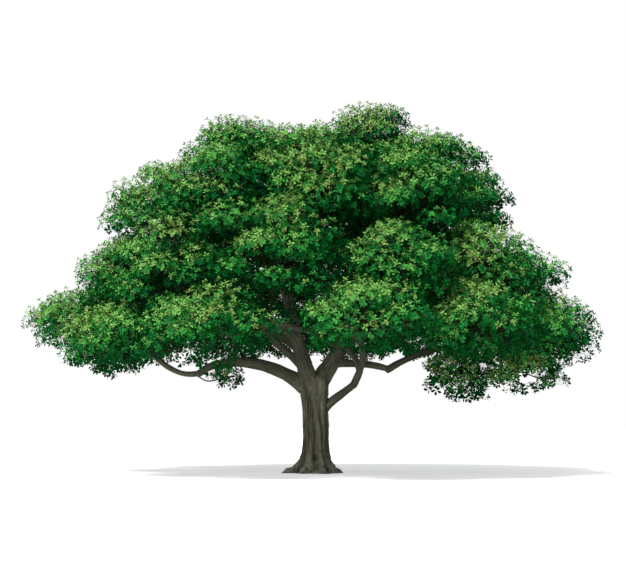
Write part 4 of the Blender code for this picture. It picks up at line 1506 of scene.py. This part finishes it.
    def grow_tuft(self, tuft: Tuft, stem: Array) -> None:
        """Runs a branchlet from the mass's stem to a tuft, and grows the tuft's twigs and sprays."""
        chance = random.Random(tuft.seed)
        start, ahead = along_path(stem, chance.uniform(*self.branchlet_feet))
        centre = tuft.centre
        arrive = unit(unit(centre - start) + 0.3 * tuft.outward + 0.3 * UP)
        path = bezier(start, unit(ahead + unit(centre - start)), arrive, centre, self.branchlet_rings)
        self.branchlets.add(path, np.linspace(*self.branchlet_radii, self.branchlet_rings))
        squat = np.array([1.0, 1.0, self.tuft_flatness])
        first, last = self.twig_feet
        ripe = chance.random()
        kept = 1 - self.bare_loss * tuft.bareness
        for start_of_name, share in self.airy:
            if tuft.mass.name.startswith(start_of_name):
                kept = share * min(1.0, (tuft.radius / self.tuft_radius) ** 2 / 0.6)
        for k, direction in enumerate(spread_directions(self.twigs_to_a_tuft, chance.uniform(0, ROUND))):
            if chance.random() > kept or direction[2] < self.lowest_twig:
                continue
            if float(direction @ tuft.outward) < self.inmost_twig:
                continue
            tip = centre + tuft.radius * chance.uniform(*self.twig_reach) * squat * direction
            foot, along = along_path(path, first + (last - first) * ((k * GOLDEN) % 1))
            line = bezier(foot, unit(along + direction), unit(direction + 0.3 * UP), tip, 3)
            self.twigs[centre[0] < 0].add(line[::2], self.twig_radii)
            self.leaf_twig(tuft, line, unit(direction / squat), ripe, chance)

    def leaf_twig(
        self, tuft: Tuft, line: Array, direction: Array, ripe: float, chance: random.Random
    ) -> None:
        """Sets sprays along a twig: the last at its tip, the others beside it.

        Args:
            tuft: the tuft that the twig is in.
            line: the twig's points.
            direction: the way that its side of the tuft faces.
            ripe: how ripe the tuft is.
            chance: the tuft's seeded dice.
        """
        across, up = side_axes(direction)
        by_side, by_tuft, by_place, by_bareness, by_patch = self.light
        turn = chance.uniform(0, ROUND)
        for k, share in enumerate(self.spray_places):
            point, _ = along_path(line, share)
            if share < 1.0:
                angle = turn + 2.6 * k
                side = math.cos(angle) * across + math.sin(angle) * up
                aim = unit(0.7 * side + 0.6 * direction + 0.35 * UP)
                point = point + self.spray_offset * chance.uniform(0.5, 1.3) * side
            else:
                aim = unit(direction + 0.30 * UP)
            # Painted light and shade: lighter where the spray's side and its tuft face LIGHT_FROM, darker
            # back along the twig and deeper in the crown, with random patches.
            lit = by_side * float(direction @ LIGHT_FROM) + by_tuft * float(tuft.outward @ LIGHT_FROM)
            lit += by_place * (share - 1) - by_bareness * tuft.bareness
            lit += by_patch * noise.noise(Vector(point * 0.5))
            lit += self.hanging_painted_light if tuft.mass.name.startswith("hanging") else 0.0
            size = chance.uniform(*self.spray_sizes) * (1 + self.bare_growth * tuft.bareness)
            if lit < self.shade_below:
                if chance.random() > self.shade_kept:
                    continue
                size *= self.shade_growth
            self.sprays.append((*point, *aim, chance.uniform(0, ROUND), size, lit, ripe))

    def sort_sprays(self) -> dict[Tone, Array]:
        """Deals the sprays out to the tones by their painted light, leaving out those that a limb is in the
        way of.

        Returns:
            The sprays of each tone: place, aim, turn and size.
        """
        rows = np.array(self.sprays)
        grain = Grain([*self.plan.tubes.values()])
        rows = rows[grain.clear_of(rows[:, :3]) > self.limb_room]
        chance = np.random.default_rng(SEED)
        lit = rows[:, 8] + chance.normal(0, self.tone_blur, len(rows))
        ripe = rows[:, 9] + chance.normal(0, self.gold_blur, len(rows))
        # The autumn tints of ripe tufts, but on lit sprays alone: partly painted light.
        gold = (lit > self.gold_light) & (ripe > self.gold_ripe)
        russet = gold & (chance.random(len(rows)) < self.russet_share)
        steps = np.digitize(lit, np.quantile(lit, self.tone_steps))
        tones = np.array([Tone.DEEP, Tone.SHADE, Tone.GREEN, Tone.FRESH, Tone.LIME], dtype=object)[steps]
        tones[gold] = Tone.GOLD
        tones[russet] = Tone.RUSSET
        return {tone: rows[tones == tone, :8] for tone in Tone}

    def leaf_pieces(self, mottle: bpy.types.NodeTree) -> list[bpy.types.Object]:
        """Makes the leaves of each tone, in pieces that are small enough."""
        lit_forms = SprayForms()
        shaded_forms = SprayForms("shaded_form", lobes=((0.60, 0.29),))
        groups = {forms.name: forms.collection() for forms in (lit_forms, shaded_forms)}
        work = spray_tree()
        pieces = []
        for tone, rows in self.sort_sprays().items():
            forms = shaded_forms if tone in (Tone.DEEP, Tone.SHADE) else lit_forms
            leaves = sum(forms.leaf_counts) / len(forms.leaf_counts)
            most = int(self.leaves_most // (2 * len(forms.lobes) * leaves + 0.2))
            finish = tone.value.material(mottle)
            order = np.argsort(rows[:, 0] + 0.01 * rows[:, 2])  # so that pieces are parts of the crown
            count = max(1, math.ceil(len(rows) / most))
            for number, part in enumerate(np.array_split(rows[order], count), 1):
                made = mesh_object(f"{tone.value.name}_{number}", part[:, :3], [])
                put_values(made.data, "aim", "FLOAT_VECTOR", part[:, 3:6])
                put_values(made.data, "turn", "FLOAT", part[:, 6])
                put_values(made.data, "size", "FLOAT", part[:, 7])
                put_values(made.data, "form", "INT", np.arange(len(part)) * 7 % len(forms.leaf_counts))
                work.run(made, Forms=groups[forms.name], Finish=finish)
                pieces.append(made)
        for forms in (lit_forms, shaded_forms):
            forms.clear(groups[forms.name])
        return pieces

    def build(self, mottle: bpy.types.NodeTree) -> list[bpy.types.Object]:
        """Grows the crown and makes its pieces.

        Args:
            mottle: the shared group of soft patches.

        Returns:
            The branchlets, twigs and leaves.
        """
        self.grow()
        log.info("%d sprays", len(self.sprays))
        skin = skin_tree()
        young = TwigFinish().material(mottle)
        east, west = self.twigs
        pieces = [
            self.branchlets.skinned("branchlets", skin, 6, young),
            east.skinned("twigs_east", skin, 3, young),
            west.skinned("twigs_west", skin, 3, young),
        ]
        pieces += self.leaf_pieces(mottle)
        nodes = [mass.name for mass in self.plan.masses]
        for piece in pieces:
            own(piece, "leaves" if piece.name.startswith("leaf") else "bark", nodes)
        return pieces


# ---------------------------------------------------------------- the studio


@dataclass
class Studio:
    """A pale floor, soft light from above and the front, and the camera."""

    floor_radius: float = 900.0
    floor_sides: int = 96
    floor_drop: float = 0.002  # below the tree's cut
    floor_glow: float = 0.50  # lifts the shadow on the floor, to the eye alone
    camera_at: tuple = (-0.11, -45.0, 1.65)
    camera_tilt: float = 6.376  # degrees above level
    camera_lens: float = 73.31
    sky_strength: float = 0.40
    key_from: tuple = (-0.40, -0.52, 1.0)
    key_strength: float = 5.7
    key_angle: float = 22.0
    fill_from: tuple = (0.25, -1.0, 0.22)
    fill_strength: float = 0.35
    fill_angle: float = 60.0

    def floor(self) -> None:
        """The floor: a wide pale disc just under the tree's cut."""
        angles = np.arange(self.floor_sides) * 2 * math.pi / self.floor_sides
        points = self.floor_radius * np.column_stack([np.cos(angles), np.sin(angles), 0 * angles])
        points[:, 2] = -self.floor_drop
        made = mesh_object("floor", points, [tuple(range(self.floor_sides))])
        finish = bpy.data.materials.new("pale_floor")
        finish.use_nodes = True
        tree = finish.node_tree
        shader = tree.nodes["Principled BSDF"]
        shader.inputs["Base Color"].default_value = (0.86, 0.86, 0.85, 1.0)
        shader.inputs["Roughness"].default_value = 0.9
        shader.inputs["Emission Color"].default_value = (1.0, 1.0, 1.0, 1.0)
        seen = wire(tree, "ShaderNodeLightPath").outputs["Is Camera Ray"]
        tree.links.new(times(tree, seen, self.floor_glow), shader.inputs["Emission Strength"])
        made.data.materials.append(finish)

    def world(self) -> None:
        """An even pale sky, brighter to the eye than to the tree."""
        world = bpy.data.worlds.new("pale_sky")
        bpy.context.scene.world = world
        world.use_nodes = True
        tree = world.node_tree
        tree.nodes.clear()
        seen = wire(tree, "ShaderNodeLightPath").outputs["Is Camera Ray"]
        light = wire(tree, "ShaderNodeBackground", Color=(0.93, 0.97, 1.0, 1.0), Strength=self.sky_strength)
        shown = wire(tree, "ShaderNodeBackground", Color=(1.0, 1.0, 1.0, 1.0), Strength=1.0)
        mixed = wire(tree, "ShaderNodeMixShader", _0=seen, _1=light.outputs[0], _2=shown.outputs[0])
        wire(tree, "ShaderNodeOutputWorld", Surface=mixed.outputs[0])

    def lamp(self, name: str, toward: tuple, strength: float, angle: float) -> None:
        """A soft lamp a long way off.

        Args:
            name: its name.
            toward: the direction from the tree to the lamp.
            strength: how strong it is.
            angle: how wide it looks from the tree, in degrees.
        """
        data = bpy.data.lights.new(name, "SUN")
        data.energy = strength
        data.angle = math.radians(angle)
        made = bpy.data.objects.new(name, data)
        made.rotation_mode = "QUATERNION"
        made.rotation_quaternion = Vector(toward).to_track_quat("Z", "Y")
        bpy.context.scene.collection.objects.link(made)

    def camera(self) -> None:
        """The camera, at eye height in front of the tree, tilted up a little."""
        data = bpy.data.cameras.new("eye")
        data.lens = self.camera_lens
        data.sensor_width = 36.0
        data.clip_end = 3000.0
        made = bpy.data.objects.new("eye", data)
        made.location = self.camera_at
        made.rotation_euler = (math.radians(90 + self.camera_tilt), 0.0, 0.0)
        bpy.context.scene.collection.objects.link(made)
        bpy.context.scene.camera = made

    def build(self) -> None:
        """Sets the studio up."""
        self.floor()
        self.world()
        self.lamp("key", self.key_from, self.key_strength, self.key_angle)
        self.lamp("fill", self.fill_from, self.fill_strength, self.fill_angle)
        self.camera()
        bpy.context.scene.view_settings.view_transform = "Standard"


def main() -> None:
    """Builds the oak round its frame, with its floor, light and camera, and notes how large it came out."""
    logging.basicConfig(level=logging.INFO, format="%(name)s: %(message)s")
    noise.seed_set(SEED)
    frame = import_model()
    log.info("the frame has %d nodes", len(frame["nodes"]))
    Studio().build()
    plan = Plan()
    mottle, furrows = mottle_group(), furrow_group()
    wood = Timber(plan).build(BarkFinish().material(mottle, furrows))
    leaves = Foliage(plan).build(mottle)
    total = sum(triangles(piece) for piece in (*wood, *leaves))
    log.info("%d pieces, %d triangles", len(wood) + len(leaves), total)


if __name__ == "__main__":
    main()
